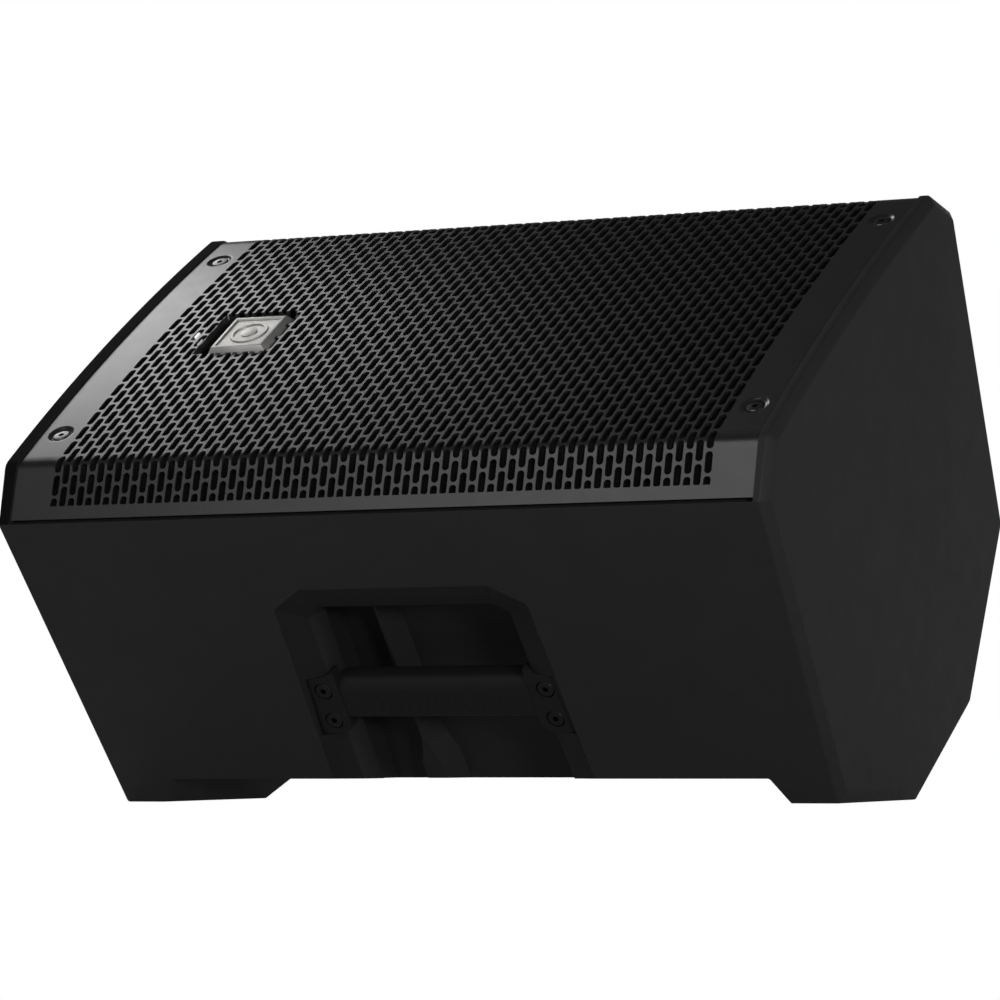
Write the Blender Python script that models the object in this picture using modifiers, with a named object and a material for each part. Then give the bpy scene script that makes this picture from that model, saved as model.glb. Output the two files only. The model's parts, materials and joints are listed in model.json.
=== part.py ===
"""Two-way active loudspeaker in a moulded cabinet, lying on its rear taper as a stage monitor wedge.

The cabinet is drawn in its own axes and then tipped onto its taper.  In the cabinet's axes X runs
along the length (the badge end is at -X), Y runs across the baffle and Z points out of the baffle.
Lengths are metres.
"""
import math

import bmesh
import bpy
from mathutils import Matrix, Vector

# ---- driving dimensions of the cabinet ----
LENGTH = 0.458            # over the two end faces
LIP_HALF = 0.1305         # half width of the grille's front face
SIDE_HALF = 0.156         # half width of the cabinet, at the top of its sides
SIDE_DEPTH = 0.024        # depth of that widest line behind the baffle corners
TAPER_HALF = 0.141        # half width where the rear tapers start
TAPER_DEPTH = 0.215
BACK_HALF = 0.046         # half width of the narrow back
BACK_DEPTH = 0.277
BOW = 0.005               # rise of the convex front at its middle
DRAFT = 0.0457            # each end face leans in by this much per metre of depth
PLAIN_CHAMFER = (0.0038, 0.006)   # plain end: along the length, across the end face
BADGE_CHAMFER = (0.0008, 0.0012)  # badge end, nearly square
WALL = 0.0045
END_WALL = 0.0055
GAP = 0.0003              # clearance between pieces that touch
ARC_STEPS = 10            # flats in the convex front

# ---- feet and end pads ----
FOOT_HEIGHT = 0.013
FOOT_TOP_HALF = 0.181     # inner flank of each moulded foot, at the cabinet's underside
FOOT_FLOOR_HALF = 0.189   # and at the floor
PAD_RADIUS = 0.011
PAD_THICK = 0.0035
PAD_RECESS = 0.0015
PAD_PLACES = [(-0.045, -0.118), (-0.045, 0.118), (-0.205, -0.095), (-0.205, 0.095)]

# ---- grille ----
GRILLE_SINK = 0.001       # the grille lies this far inside the rims
GRILLE_THICK = 0.0015
GRILLE_HALF = 0.2205
LIP_SHORT = 0.0028        # open groove under each lip
GRILLE_SCREW_X = 0.208
GRILLE_SCREW_Y = 0.101
FOAM_THICK = 0.003
FOAM_HALF_X = 0.1965
FOAM_HALF_Y = 0.116
BADGE_CENTRE = (-0.1375, -0.002)
BADGE_SIZE = (0.035, 0.040)
LIGHT_CENTRE = (-0.1715, 0.001)
LIGHT_SIZE = (0.0022, 0.0062)

# ---- baffle and drivers ----
BAFFLE_FRONT = -0.018
BAFFLE_THICK = 0.008
BAFFLE_HALF_X = 0.1977
BAFFLE_HALF_Y = 0.1177
WOOFER_X = -0.093
WOOFER_RADIUS = 0.100
WOOFER_CUTOUT = 0.092
HORN_X = 0.116
HORN_MOUTH = (0.068, 0.084)
THROAT_RADIUS = 0.0127
HORN_DEPTH = 0.064
PORT_X = 0.016
PORT_Y = 0.0875
PORT_RADIUS = 0.018
PORT_LENGTH = 0.046

# ---- handle pocket, in the side's own axes: along the length, down the side, into the cabinet ----
POCKET_TOP = 0.048
POCKET_TOP_HALF = 0.056
POCKET_SHOULDER = 0.0605
POCKET_SHOULDER_HALF = 0.0755
POCKET_FOOT = 0.230
POCKET_FOOT_HALF = 0.081
POCKET_BORDER = 0.0150    # width of the bevelled border
POCKET_BEVEL = 0.005      # its depth
POCKET_DEPTH = 0.040
POCKET_WALL = 0.0035
RIB_X = -0.028
RIB_HALF = 0.0062
RIB_FRONT = 0.026
BAR_MIDDLE = 0.1235       # down the side
BAR_HEIGHT = 0.027
BAR_FRONT = 0.0035
BAR_THICK = 0.0175
PLATE_MIDDLE = 0.1275     # the end plates sit a little lower than the bar
PLATE_HALF = 0.0190
PLATE_INNER = 0.0575
PLATE_OUTER = 0.0745
PLATE_FRONT = 0.0028
PLATE_BACK = 0.0100
HANDLE_SCREW_X = 0.0672
HANDLE_SCREW_STEP = 0.0098

# ---- rear panel ----
PANEL_Y = 0.012
PANEL_HALF = (0.125, 0.029)
PANEL_SUNK = 0.012
PANEL_THICK = 0.002
PANEL_SCREW = (0.1205, 0.0245)
INLET_X = -0.096
SWITCH_X = -0.060
LINK_X = -0.031
JACK_X = (0.002, 0.035)
AUX_PLACE = (0.0535, 0.020)
KNOB_PLACES = [(0.0665, -0.009), (0.0665, 0.0125)]
SCREEN_X = 0.088
ENCODER_X = 0.108
SWITCH_TILT = math.radians(8)

POLE_CENTRE = -0.150      # along the end face, from the baffle corners
POLE_RADIUS = 0.0182
POLE_DEPTH = 0.078

TILT = math.atan2(BACK_DEPTH - TAPER_DEPTH, TAPER_HALF - BACK_HALF)
SIDE_ANGLE = math.atan2(SIDE_DEPTH - TAPER_DEPTH, SIDE_HALF - TAPER_HALF)
END_LEAN = math.atan(DRAFT)

COLOURS = {
    "enclosure": ((0.016, 0.016, 0.017), 0.62, 0.0),
    "baffle": ((0.012, 0.012, 0.013), 0.7, 0.0),
    "grille": ((0.018, 0.018, 0.019), 0.42, 0.3),
    "foam": ((0.008, 0.008, 0.008), 0.95, 0.0),
    "screw": ((0.02, 0.02, 0.021), 0.38, 0.8),
    "badge": ((0.55, 0.55, 0.56), 0.35, 0.9),
    "light": ((0.9, 0.95, 1.0), 0.3, 0.0),
    "rubber": ((0.012, 0.012, 0.012), 0.85, 0.0),
    "steel": ((0.35, 0.36, 0.37), 0.4, 1.0),
    "magnet": ((0.05, 0.05, 0.055), 0.6, 0.2),
    "paper": ((0.02, 0.02, 0.02), 0.85, 0.0),
    "coil": ((0.45, 0.22, 0.1), 0.4, 0.8),
    "spider": ((0.5, 0.36, 0.14), 0.9, 0.0),
    "panel": ((0.02, 0.02, 0.022), 0.5, 0.4),
    "jack": ((0.012, 0.012, 0.013), 0.45, 0.0),
    "board": ((0.02, 0.1, 0.05), 0.5, 0.0),
    "aluminium": ((0.6, 0.6, 0.62), 0.4, 0.9),
    "screen": ((0.02, 0.04, 0.05), 0.1, 0.0),
}


# ---- scene helpers ----
def clear_scene():
    """Start from an empty scene."""
    for old in list(bpy.data.objects):
        bpy.data.objects.remove(old, do_unlink=True)


def new_collection(name):
    """A collection linked to the scene."""
    collection = bpy.data.collections.new(name)
    bpy.context.scene.collection.children.link(collection)
    return collection


def new_axes(name, parent, place, turn=(0.0, 0.0, 0.0)):
    """An empty that holds one set of axes."""
    axes = bpy.data.objects.new(name, None)
    axes.location = place
    axes.rotation_euler = turn
    axes.parent = parent
    PARTS.objects.link(axes)
    return axes


def material(name):
    """The Principled material of one colour entry."""
    found = bpy.data.materials.get(name)
    if found:
        return found
    colour, roughness, metallic = COLOURS[name]
    made = bpy.data.materials.new(name)
    made.use_nodes = True
    shader = made.node_tree.nodes["Principled BSDF"]
    shader.inputs["Base Color"].default_value = (*colour, 1.0)
    shader.inputs["Roughness"].default_value = roughness
    shader.inputs["Metallic"].default_value = metallic
    made.diffuse_color = (*colour, 1.0)
    return made


def new_object(name, mesh, parent, look=None, place=(0.0, 0.0, 0.0), turn=(0.0, 0.0, 0.0)):
    """Put a mesh in the scene: as a part when it has a look, otherwise as a cutter."""
    made = bpy.data.objects.new(name, mesh)
    made.location = place
    made.rotation_euler = turn
    made.parent = parent
    if look is None:
        made.hide_render = True
        made.display_type = "WIRE"
        CUTTERS.objects.link(made)
        return made
    mesh.materials.append(material(look))
    PARTS.objects.link(made)
    return made


def box_mesh(name, size, centre=(0.0, 0.0, 0.0), round_by=0.0, steps=1):
    """A box, with rounded edges where asked."""
    shape = bmesh.new()
    bmesh.ops.create_cube(shape, size=1.0)
    bmesh.ops.scale(shape, vec=size, verts=shape.verts)
    bmesh.ops.translate(shape, vec=centre, verts=shape.verts)
    if round_by:
        bmesh.ops.bevel(shape, geom=shape.edges, offset=round_by, segments=steps,
                        profile=0.5, affect="EDGES")
    return finished(shape, name)


def cylinder_mesh(name, radius, low, high, sides=24, centre=(0.0, 0.0)):
    """A cylinder along Z between two heights."""
    shape = bmesh.new()
    bmesh.ops.create_cone(shape, cap_ends=True, segments=sides, radius1=radius, radius2=radius,
                          depth=high - low)
    bmesh.ops.translate(shape, vec=(centre[0], centre[1], (low + high) / 2), verts=shape.verts)
    return finished(shape, name)


def finished(shape, name):
    """Turn a bmesh into a mesh."""
    mesh = bpy.data.meshes.new(name)
    shape.to_mesh(mesh)
    shape.free()
    return mesh


def outline_mesh(name, points, thickness, turn=None):
    """A flat outline, filled and given a thickness about its own plane."""
    curve = bpy.data.curves.new(name, "CURVE")
    curve.dimensions = "2D"
    curve.fill_mode = "BOTH"
    curve.extrude = thickness / 2
    line = curve.splines.new("POLY")
    line.points.add(len(points) - 1)
    for point, (across, up) in zip(line.points, points):
        point.co = (across, up, 0.0, 1.0)
    line.use_cyclic_u = True
    holder = bpy.data.objects.new(name, curve)
    bpy.context.scene.collection.objects.link(holder)
    evaluated = holder.evaluated_get(bpy.context.evaluated_depsgraph_get())
    mesh = bpy.data.meshes.new_from_object(evaluated)
    bpy.data.objects.remove(holder, do_unlink=True)
    bpy.data.curves.remove(curve)
    mesh.name = name
    shape = bmesh.new()
    shape.from_mesh(mesh)
    bmesh.ops.remove_doubles(shape, verts=shape.verts, dist=0.00001)
    bmesh.ops.dissolve_limit(shape, angle_limit=0.01, verts=shape.verts, edges=shape.edges)
    bmesh.ops.recalc_face_normals(shape, faces=shape.faces)
    if turn:
        bmesh.ops.transform(shape, matrix=turn, verts=shape.verts)
    shape.to_mesh(mesh)
    shape.free()
    return mesh


def turned(name, profile, look, parent, place, sides=30, closed=True):
    """A turned piece: the profile's points are (radius, height), down its outer side first."""
    shape = bmesh.new()
    corners = [shape.verts.new((radius, 0.0, height)) for radius, height in profile]
    for first, second in zip(corners, corners[1:]):
        shape.edges.new((first, second))
    if closed:
        shape.edges.new((corners[-1], corners[0]))
    made = new_object(name, finished(shape, name), parent, look, place)
    screw = made.modifiers.new("Turn", "SCREW")
    screw.axis = "Z"
    screw.steps = sides
    screw.render_steps = sides
    screw.use_merge_vertices = True
    screw.merge_threshold = 0.0001
    screw.use_smooth_shade = True
    return made


def cut(piece, cutter, how="DIFFERENCE"):
    """Cut a piece with another, or join them."""
    step = piece.modifiers.new(cutter.name, "BOOLEAN")
    step.operation = how
    step.solver = "EXACT"
    step.object = cutter
    return piece


# ---- cabinet sections ----
def bow(across, half=LIP_HALF, rise=BOW):
    """Height of the convex front above the baffle corners."""
    return rise * (1 - (across / half) ** 2)


def front_arc(half, rise, sink):
    """Points of the convex front from one lip to the other."""
    across = [half * (2 * step / ARC_STEPS - 1) for step in range(ARC_STEPS + 1)]
    return [(y, bow(y, half, rise) - sink) for y in across]


def inset(points, distances):
    """Move each side of a closed outline inwards by its own distance; the outline runs clockwise."""
    lines = []
    for (x0, y0), (x1, y1), distance in zip(points, points[1:] + points[:1], distances):
        length = math.hypot(x1 - x0, y1 - y0)
        normal = ((y1 - y0) / length, -(x1 - x0) / length)
        lines.append((normal, normal[0] * x0 + normal[1] * y0 + distance))
    moved = []
    for (before, held_before), (after, held_after) in zip(lines[-1:] + lines[:-1], lines):
        spread = before[0] * after[1] - before[1] * after[0]
        x = (held_before * after[1] - held_after * before[1]) / spread
        y = (held_after * before[0] - held_before * after[0]) / spread
        moved.append((x, y))
    return moved


def rear_corners():
    """The six straight corners, clockwise from the near end of the widest line."""
    return [(-SIDE_HALF, -SIDE_DEPTH), (SIDE_HALF, -SIDE_DEPTH), (TAPER_HALF, -TAPER_DEPTH),
            (BACK_HALF, -BACK_DEPTH), (-BACK_HALF, -BACK_DEPTH), (-TAPER_HALF, -TAPER_DEPTH)]


def end_outline():
    """The full section, as the end plates have it."""
    corners = rear_corners()
    return corners[:1] + front_arc(LIP_HALF, BOW, 0.0) + corners[1:]


def along_length():
    """Turns an outline drawn across and out of the baffle so that it is extruded along X."""
    return Matrix(((0, 0, 1, 0), (1, 0, 0, 0), (0, 1, 0, 0), (0, 0, 0, 1)))


def lean_ends(mesh):
    """Give the two ends their draft, more of it further back."""
    for vertex in mesh.vertices:
        vertex.co.x += math.copysign(1.0, vertex.co.x) * DRAFT * vertex.co.z


def cabinet_block():
    """The outside of the cabinet, with chamfered ends, as one solid block."""
    straight = LENGTH - BADGE_CHAMFER[0] - PLAIN_CHAMFER[0]
    mesh = outline_mesh("enclosure_shell", end_outline(), straight, along_length())
    shape = bmesh.new()
    shape.from_mesh(mesh)
    shift = (BADGE_CHAMFER[0] - PLAIN_CHAMFER[0]) / 2
    bmesh.ops.translate(shape, vec=(shift, 0.0, 0.0), verts=shape.verts)
    for side, (depth, width) in ((-1, BADGE_CHAMFER), (1, PLAIN_CHAMFER)):
        ends = [face for face in shape.faces if side * face.normal.x > 0.9]
        bmesh.ops.inset_region(shape, faces=ends, thickness=width, depth=depth, use_even_offset=True)
    shape.to_mesh(mesh)
    shape.free()
    lean_ends(mesh)
    return mesh


# ---- cabinet ----
def foot_cutter():
    """Raises the underside between the two moulded feet."""
    reach = 0.004
    spread = FOOT_FLOOR_HALF - FOOT_TOP_HALF
    low = FOOT_FLOOR_HALF + spread * reach / FOOT_HEIGHT
    points = [(-low, -reach), (-FOOT_TOP_HALF, FOOT_HEIGHT), (FOOT_TOP_HALF, FOOT_HEIGHT),
              (low, -reach)]
    stand_up = Matrix.Rotation(math.radians(90), 4, "X")
    mesh = outline_mesh("foot_cutter", points, 0.4, stand_up)
    place = (0.0, -TAPER_HALF, -TAPER_DEPTH)
    return new_object("foot_cutter", mesh, SPEAKER, None, place, (-TILT, 0.0, 0.0))


def grille_seat_cutter():
    """Clears the front and both lips for the grille."""
    depth = GRILLE_SINK + GRILLE_THICK + GAP
    corners = rear_corners()
    outline = corners[:1] + front_arc(LIP_HALF, BOW, 0.0) + corners[1:2]
    floor = inset(outline, [depth] * (len(outline) - 1) + [0.0])
    clear = SIDE_HALF + 0.03
    points = [(-clear, -SIDE_DEPTH)] + floor + [(clear, -SIDE_DEPTH), (clear, 0.03), (-clear, 0.03)]
    mesh = outline_mesh("grille_seat_cutter", points, 2 * (GRILLE_HALF + GAP), along_length())
    return new_object("grille_seat_cutter", mesh, SPEAKER)


def cavity_cutter():
    """The inside of the cabinet, kept clear of the handle pocket and the panel's tray."""
    walls = [WALL, WALL, WALL, WALL, WALL + FOOT_HEIGHT, WALL]
    points = inset(rear_corners(), walls)
    mesh = outline_mesh("cavity_cutter", points, LENGTH - 2 * END_WALL, along_length())
    lean_ends(mesh)
    cavity = new_object("cavity_cutter", mesh, SPEAKER)
    cut(cavity, pocket_block())
    tray_size = (2 * (PANEL_HALF[0] + POCKET_WALL), 2 * (PANEL_HALF[1] + POCKET_WALL), 0.05)
    tray_top = PANEL_THICK + GAP + POCKET_WALL
    tray = new_object("tray_block", box_mesh("tray_block", tray_size, (0, 0, 0.025 - tray_top)), REAR)
    return cut(cavity, tray)


def pocket_outline(grow=0.0):
    """Half of the pocket's outline mirrored into a whole, clockwise."""
    half = [(POCKET_FOOT_HALF + grow, POCKET_FOOT), (POCKET_SHOULDER_HALF + grow, POCKET_SHOULDER),
            (POCKET_TOP_HALF + grow / 2, POCKET_TOP - grow)]
    return half + [(-x, y) for x, y in reversed(half)]


def pocket_block():
    """The plastic that surrounds the pocket."""
    deep = POCKET_DEPTH + POCKET_WALL
    mesh = outline_mesh("pocket_block", pocket_outline(POCKET_WALL / 2), deep + 0.05)
    return new_object("pocket_block", mesh, SIDE, None, (0.0, 0.0, (deep - 0.05) / 2))


def pocket_cutter():
    """The pocket: a bevelled border, then straight walls, with one upright rib at its back."""
    lead = 0.02
    mesh = outline_mesh("pocket_cutter", pocket_outline(), lead)
    shape = bmesh.new()
    shape.from_mesh(mesh)
    bmesh.ops.translate(shape, vec=(0.0, 0.0, -lead / 2), verts=shape.verts)
    floor = [face for face in shape.faces if face.normal.z > 0.9]
    bmesh.ops.inset_region(shape, faces=floor, thickness=POCKET_BORDER, depth=POCKET_BEVEL,
                           use_even_offset=True)
    floor = max(shape.faces, key=lambda face: face.calc_center_median().z)
    deeper = bmesh.ops.extrude_face_region(shape, geom=[floor])
    moved = [item for item in deeper["geom"] if isinstance(item, bmesh.types.BMVert)]
    bmesh.ops.translate(shape, vec=(0.0, 0.0, POCKET_DEPTH - POCKET_BEVEL), verts=moved)
    bmesh.ops.delete(shape, geom=[floor], context="FACES_ONLY")
    bmesh.ops.recalc_face_normals(shape, faces=shape.faces)
    shape.to_mesh(mesh)
    shape.free()
    cutter = new_object("pocket_cutter", mesh, SIDE)
    rib_deep = POCKET_DEPTH - RIB_FRONT + 0.01
    rib_size = (2 * RIB_HALF, 0.4, rib_deep)
    rib = box_mesh("rib_block", rib_size, (RIB_X, 0.15, RIB_FRONT + rib_deep / 2))
    return cut(cutter, new_object("rib_block", rib, SIDE))


def plate_seat_cutter(side):
    """Seat of one end plate of the handle bar."""
    size = (PLATE_OUTER - PLATE_INNER + 2 * GAP + 0.004, 2 * (PLATE_HALF + GAP), PLATE_BACK + GAP + 0.01)
    centre = (side * ((PLATE_OUTER + PLATE_INNER) / 2 - 0.002), PLATE_MIDDLE,
              (PLATE_BACK + GAP - 0.01) / 2)
    name = "plate_seat_cutter"
    return new_object(name, box_mesh(name, size, centre), SIDE)


def drill(piece, parent, radius, places, low, high, sides=12):
    """Drill a round hole at each place."""
    for across, up in places:
        name = piece.name + "_drill"
        hole = new_object(name, cylinder_mesh(name, radius, low, high, sides, (across, up)), parent)
        cut(piece, hole)


def grille_screw_places():
    """The grille's four screws."""
    return [(x, y) for x in (-GRILLE_SCREW_X, GRILLE_SCREW_X) for y in (-GRILLE_SCREW_Y, GRILLE_SCREW_Y)]


def handle_screw_places():
    """The handle bar's four screws, two at each end."""
    steps = (-HANDLE_SCREW_STEP, HANDLE_SCREW_STEP)
    return [(x, PLATE_MIDDLE + step) for x in (-HANDLE_SCREW_X, HANDLE_SCREW_X) for step in steps]


def make_enclosure():
    """The moulded cabinet: walls, end plates, feet, handle pocket and panel tray in one piece."""
    shell = new_object("enclosure_shell", cabinet_block(), SPEAKER, "enclosure")
    cut(shell, foot_cutter())
    cut(shell, grille_seat_cutter())
    opening_low = BAFFLE_FRONT - BAFFLE_THICK - GAP
    opening = box_mesh("front_opening", (2 * (BAFFLE_HALF_X + GAP), 2 * (BAFFLE_HALF_Y + GAP), 0.06),
                       (0, 0, opening_low + 0.03))
    cut(shell, new_object("front_opening", opening, SPEAKER))
    neck_edge = 0.007
    neck = box_mesh("neck_cutter", (2 * (BAFFLE_HALF_X - neck_edge), 2 * (BAFFLE_HALF_Y - neck_edge),
                                    0.012), (0, 0, opening_low))
    cut(shell, cavity_cutter())
    cut(shell, new_object("neck_cutter", neck, SPEAKER))
    cut(shell, pocket_cutter())
    cut(shell, plate_seat_cutter(-1))
    cut(shell, plate_seat_cutter(1))
    seat_low = -PANEL_THICK - GAP
    seat = box_mesh("panel_seat", (2 * (PANEL_HALF[0] + GAP), 2 * (PANEL_HALF[1] + GAP), 0.05),
                    (0, 0, seat_low + 0.025))
    cut(shell, new_object("panel_seat", seat, REAR))
    ledge = 0.0045
    window = box_mesh("panel_window", (2 * (PANEL_HALF[0] - 2 * ledge), 2 * (PANEL_HALF[1] - ledge), 0.03))
    cut(shell, new_object("panel_window", window, REAR))
    drill(shell, SPEAKER, 0.0028, grille_screw_places(), -0.0135, 0.01)
    drill(shell, SPEAKER, 0.0053, grille_screw_places(), -0.0024, 0.01, 16)
    drill(shell, REAR, 0.0018, panel_screw_places(), -0.0075, 0.01, 10)
    drill(shell, SIDE, 0.0028, handle_screw_places(), 0.0, 0.0225)
    drill(shell, END, POLE_RADIUS + 0.004, [(POLE_CENTRE, 0.0)], -0.02, 0.01, 32)
    drill(shell, END, 0.031 + GAP, [(POLE_CENTRE, 0.0)], -0.0023, 0.01, 32)
    drill(shell, END, PAD_RADIUS + GAP, PAD_PLACES, -PAD_RECESS, 0.01, 20)
    return shell


def make_baffle():
    """The panel that carries the drivers."""
    size = (2 * BAFFLE_HALF_X, 2 * BAFFLE_HALF_Y, BAFFLE_THICK)
    centre = (0, 0, BAFFLE_FRONT - BAFFLE_THICK / 2)
    baffle = new_object("front_baffle", box_mesh("front_baffle", size, centre), SPEAKER, "baffle")
    low = BAFFLE_FRONT - 2 * BAFFLE_THICK
    drill(baffle, SPEAKER, WOOFER_CUTOUT, [(WOOFER_X, 0.0)], low, 0.0, 40)
    drill(baffle, SPEAKER, PORT_RADIUS + 0.0033, [(PORT_X, -PORT_Y), (PORT_X, PORT_Y)], low, 0.0, 24)
    hole = box_mesh("horn_hole", (2 * HORN_MOUTH[0] + 0.008, 2 * HORN_MOUTH[1] + 0.008, 0.05),
                    (HORN_X, 0, BAFFLE_FRONT))
    cut(baffle, new_object("horn_hole", hole, SPEAKER))
    return baffle


# ---- grille ----
def make_grille():
    """The bent steel grille, with its two lips, screw holes, badge opening and light slot."""
    run = SIDE_HALF - LIP_HALF
    slope = math.hypot(run, SIDE_DEPTH)
    keep = 1 - LIP_SHORT / slope
    edge = (LIP_HALF + run * keep, -SIDE_DEPTH * keep)
    line = [(-edge[0], edge[1])] + front_arc(LIP_HALF, BOW, 0.0) + [edge]
    shape = bmesh.new()
    near = [shape.verts.new((-GRILLE_HALF, y, z)) for y, z in line]
    far = [shape.verts.new((GRILLE_HALF, y, z)) for y, z in line]
    for step in range(len(line) - 1):
        shape.faces.new((near[step], far[step], far[step + 1], near[step + 1]))
    grille = new_object("grille", finished(shape, "grille"), SPEAKER, "grille")
    sink = grille.modifiers.new("Sink", "SOLIDIFY")
    sink.thickness = GRILLE_THICK
    sink.offset = -1 - 2 * GRILLE_SINK / GRILLE_THICK
    sink.use_even_offset = True
    drill(grille, SPEAKER, 0.0053, grille_screw_places(), -0.02, 0.02, 16)
    badge_hole = box_mesh("badge_hole", (BADGE_SIZE[0] + 0.003, BADGE_SIZE[1] + 0.003, 0.04),
                          (*BADGE_CENTRE, 0.0))
    cut(grille, new_object("badge_hole", badge_hole, SPEAKER))
    slot = box_mesh("light_slot", (LIGHT_SIZE[0] + 0.0008, LIGHT_SIZE[1] + 0.0008, 0.04),
                    (*LIGHT_CENTRE, 0.0))
    cut(grille, new_object("light_slot", slot, SPEAKER))
    return grille


def make_foam():
    """The thin foam glued behind the grille."""
    top = GRILLE_SINK + GRILLE_THICK + GAP
    shape = bmesh.new()
    steps = 8
    lines = [FOAM_HALF_Y * (2 * step / steps - 1) for step in range(steps + 1)]
    near = [shape.verts.new((-FOAM_HALF_X, y, bow(y) - top - GAP)) for y in lines]
    far = [shape.verts.new((FOAM_HALF_X, y, bow(y) - top - GAP)) for y in lines]
    for step in range(steps):
        shape.faces.new((near[step], far[step], far[step + 1], near[step + 1]))
    foam = new_object("grille_foam", finished(shape, "grille_foam"), SPEAKER, "foam")
    thick = foam.modifiers.new("Thick", "SOLIDIFY")
    thick.thickness = FOAM_THICK
    thick.offset = -1
    badge_room = box_mesh("badge_room", (BADGE_SIZE[0] + 0.009, BADGE_SIZE[1] + 0.009, 0.04),
                          (*BADGE_CENTRE, 0.0))
    cut(foam, new_object("badge_room", badge_room, SPEAKER))
    light_room = box_mesh("light_room", (0.008, 0.012, 0.04), (*LIGHT_CENTRE, 0.0))
    cut(foam, new_object("light_room", light_room, SPEAKER))
    return foam


# ---- fasteners ----
def make_screws(base, places, parent, height, size, turn=(0.0, 0.0, 0.0)):
    """One separate socket screw at each place, its head's top at the given height."""
    head_radius, head_height, shank_radius, length, socket_radius = size
    edge = head_height * 0.25
    profile = [(0.0, 0.0), (head_radius - edge, 0.0), (head_radius, -edge),
               (head_radius, -head_height), (shank_radius, -head_height),
               (shank_radius, -length), (0.0, -length)]
    for number, (across, up) in enumerate(places, 1):
        place = (across, up, height)
        screw = turned("%s_%d" % (base, number), profile, "screw", parent, place, 10, False)
        screw.rotation_euler = turn
        socket = cylinder_mesh("screw_socket", socket_radius, -head_height * 0.6, 0.004, 6)
        cut(screw, new_object("screw_socket", socket, parent, None, place, turn))


def make_badge():
    """A blank badge plate, held by a wider flange behind the grille."""
    badge = new_object("badge", box_mesh("badge", (*BADGE_SIZE, 0.0041), (0, 0, 0.00345), 0.0005),
                       SPEAKER, "badge", (*BADGE_CENTRE, 0.0))
    flange = box_mesh("badge_flange", (BADGE_SIZE[0] + 0.007, BADGE_SIZE[1] + 0.007, 0.0012),
                      (0, 0, 0.0012))
    return cut(badge, new_object("badge_flange", flange, SPEAKER, None, (*BADGE_CENTRE, 0.0)), "UNION")


def make_light():
    """The clear pipe that carries the power light to the grille."""
    light = new_object("power_light", box_mesh("power_light", (*LIGHT_SIZE, 0.0056), (0, 0, 0.0018)),
                       SPEAKER, "light", (*LIGHT_CENTRE, 0.0))
    foot = box_mesh("light_foot", (LIGHT_SIZE[0] + 0.003, LIGHT_SIZE[1] + 0.003, 0.002))
    return cut(light, new_object("light_foot", foot, SPEAKER, None, (*LIGHT_CENTRE, 0.0)), "UNION")


# ---- handle ----
def make_handle():
    """The bar across the pocket, with an end plate at each side."""
    bar_size = (2 * PLATE_INNER + 0.003, BAR_HEIGHT, BAR_THICK)
    bar_centre = (0.0, BAR_MIDDLE, BAR_FRONT + BAR_THICK / 2)
    bar = new_object("handle_bar", box_mesh("handle_bar", bar_size, bar_centre, 0.004, 2), SIDE,
                     "enclosure")
    size = (PLATE_OUTER - PLATE_INNER, 2 * PLATE_HALF, PLATE_BACK - PLATE_FRONT)
    for side in (-1, 1):
        centre = (side * (PLATE_OUTER + PLATE_INNER) / 2, PLATE_MIDDLE, (PLATE_FRONT + PLATE_BACK) / 2)
        plate = box_mesh("end_plate", size, centre, 0.0006)
        cut(bar, new_object("end_plate", plate, SIDE), "UNION")
    drill(bar, SIDE, 0.0028, handle_screw_places(), -0.005, 0.02)
    drill(bar, SIDE, 0.0052, handle_screw_places(), -0.005, PLATE_FRONT + 0.0034, 16)
    return bar


# ---- woofer ----
def make_woofer():
    """The woofer: basket and motor fixed to the baffle, cone, cap and coil free to travel."""
    seat = (WOOFER_X, 0.0, BAFFLE_FRONT)
    basket = turned("woofer_basket", [
        (WOOFER_RADIUS, 0.0033), (WOOFER_RADIUS, GAP), (0.0910, GAP), (0.0630, -0.0470),
        (0.0560, -0.0470), (0.0560, -0.0543), (0.0240, -0.0543), (0.0240, -0.0523),
        (0.0540, -0.0523), (0.0540, -0.0450), (0.0618, -0.0450), (0.0880, 0.0010),
        (0.0880, 0.0033)], "steel", SPEAKER, seat)
    for turn in range(3):
        window = new_object("basket_window", box_mesh("basket_window", (0.24, 0.042, 0.030),
                            (0, 0, -0.025)), SPEAKER, None, seat, (0, 0, turn * math.pi / 3))
        cut(basket, window)
    turned("woofer_top_plate", [(0.0520, -0.0546), (0.0520, -0.0626), (0.0213, -0.0626),
                                (0.0213, -0.0546)], "steel", SPEAKER, seat)
    turned("woofer_magnet", [(0.0560, -0.0629), (0.0560, -0.0820), (0.0300, -0.0820),
                             (0.0300, -0.0629)], "magnet", SPEAKER, seat)
    turned("woofer_yoke", [(0.0187, -0.0550), (0.0187, -0.0823), (0.0480, -0.0823),
                           (0.0480, -0.0900), (0.0060, -0.0900), (0.0060, -0.0550)],
           "steel", SPEAKER, seat)
    turned("voice_coil", [(0.0203, -0.0340), (0.0203, -0.0760), (0.0195, -0.0760),
                          (0.0195, -0.0340)], "coil", SPEAKER, seat)
    turned("woofer_cone", [(0.0775, 0.0033), (0.0775, 0.0020), (0.0215, -0.0380),
                           (0.0206, -0.0380), (0.0206, -0.0366), (0.0760, 0.0033)],
           "paper", SPEAKER, seat)
    turned("dust_cap", [(0.0, -0.0220), (0.0100, -0.0230), (0.0190, -0.0262), (0.0260, -0.0312),
                        (0.0260, -0.0320), (0.0250, -0.0320), (0.0185, -0.0270),
                        (0.0095, -0.0240), (0.0, -0.0230)], "paper", SPEAKER, seat, closed=False)
    turned("surround", surround_profile(), "rubber", SPEAKER, seat)
    turned("spider", spider_profile(), "spider", SPEAKER, seat, 24)


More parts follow.
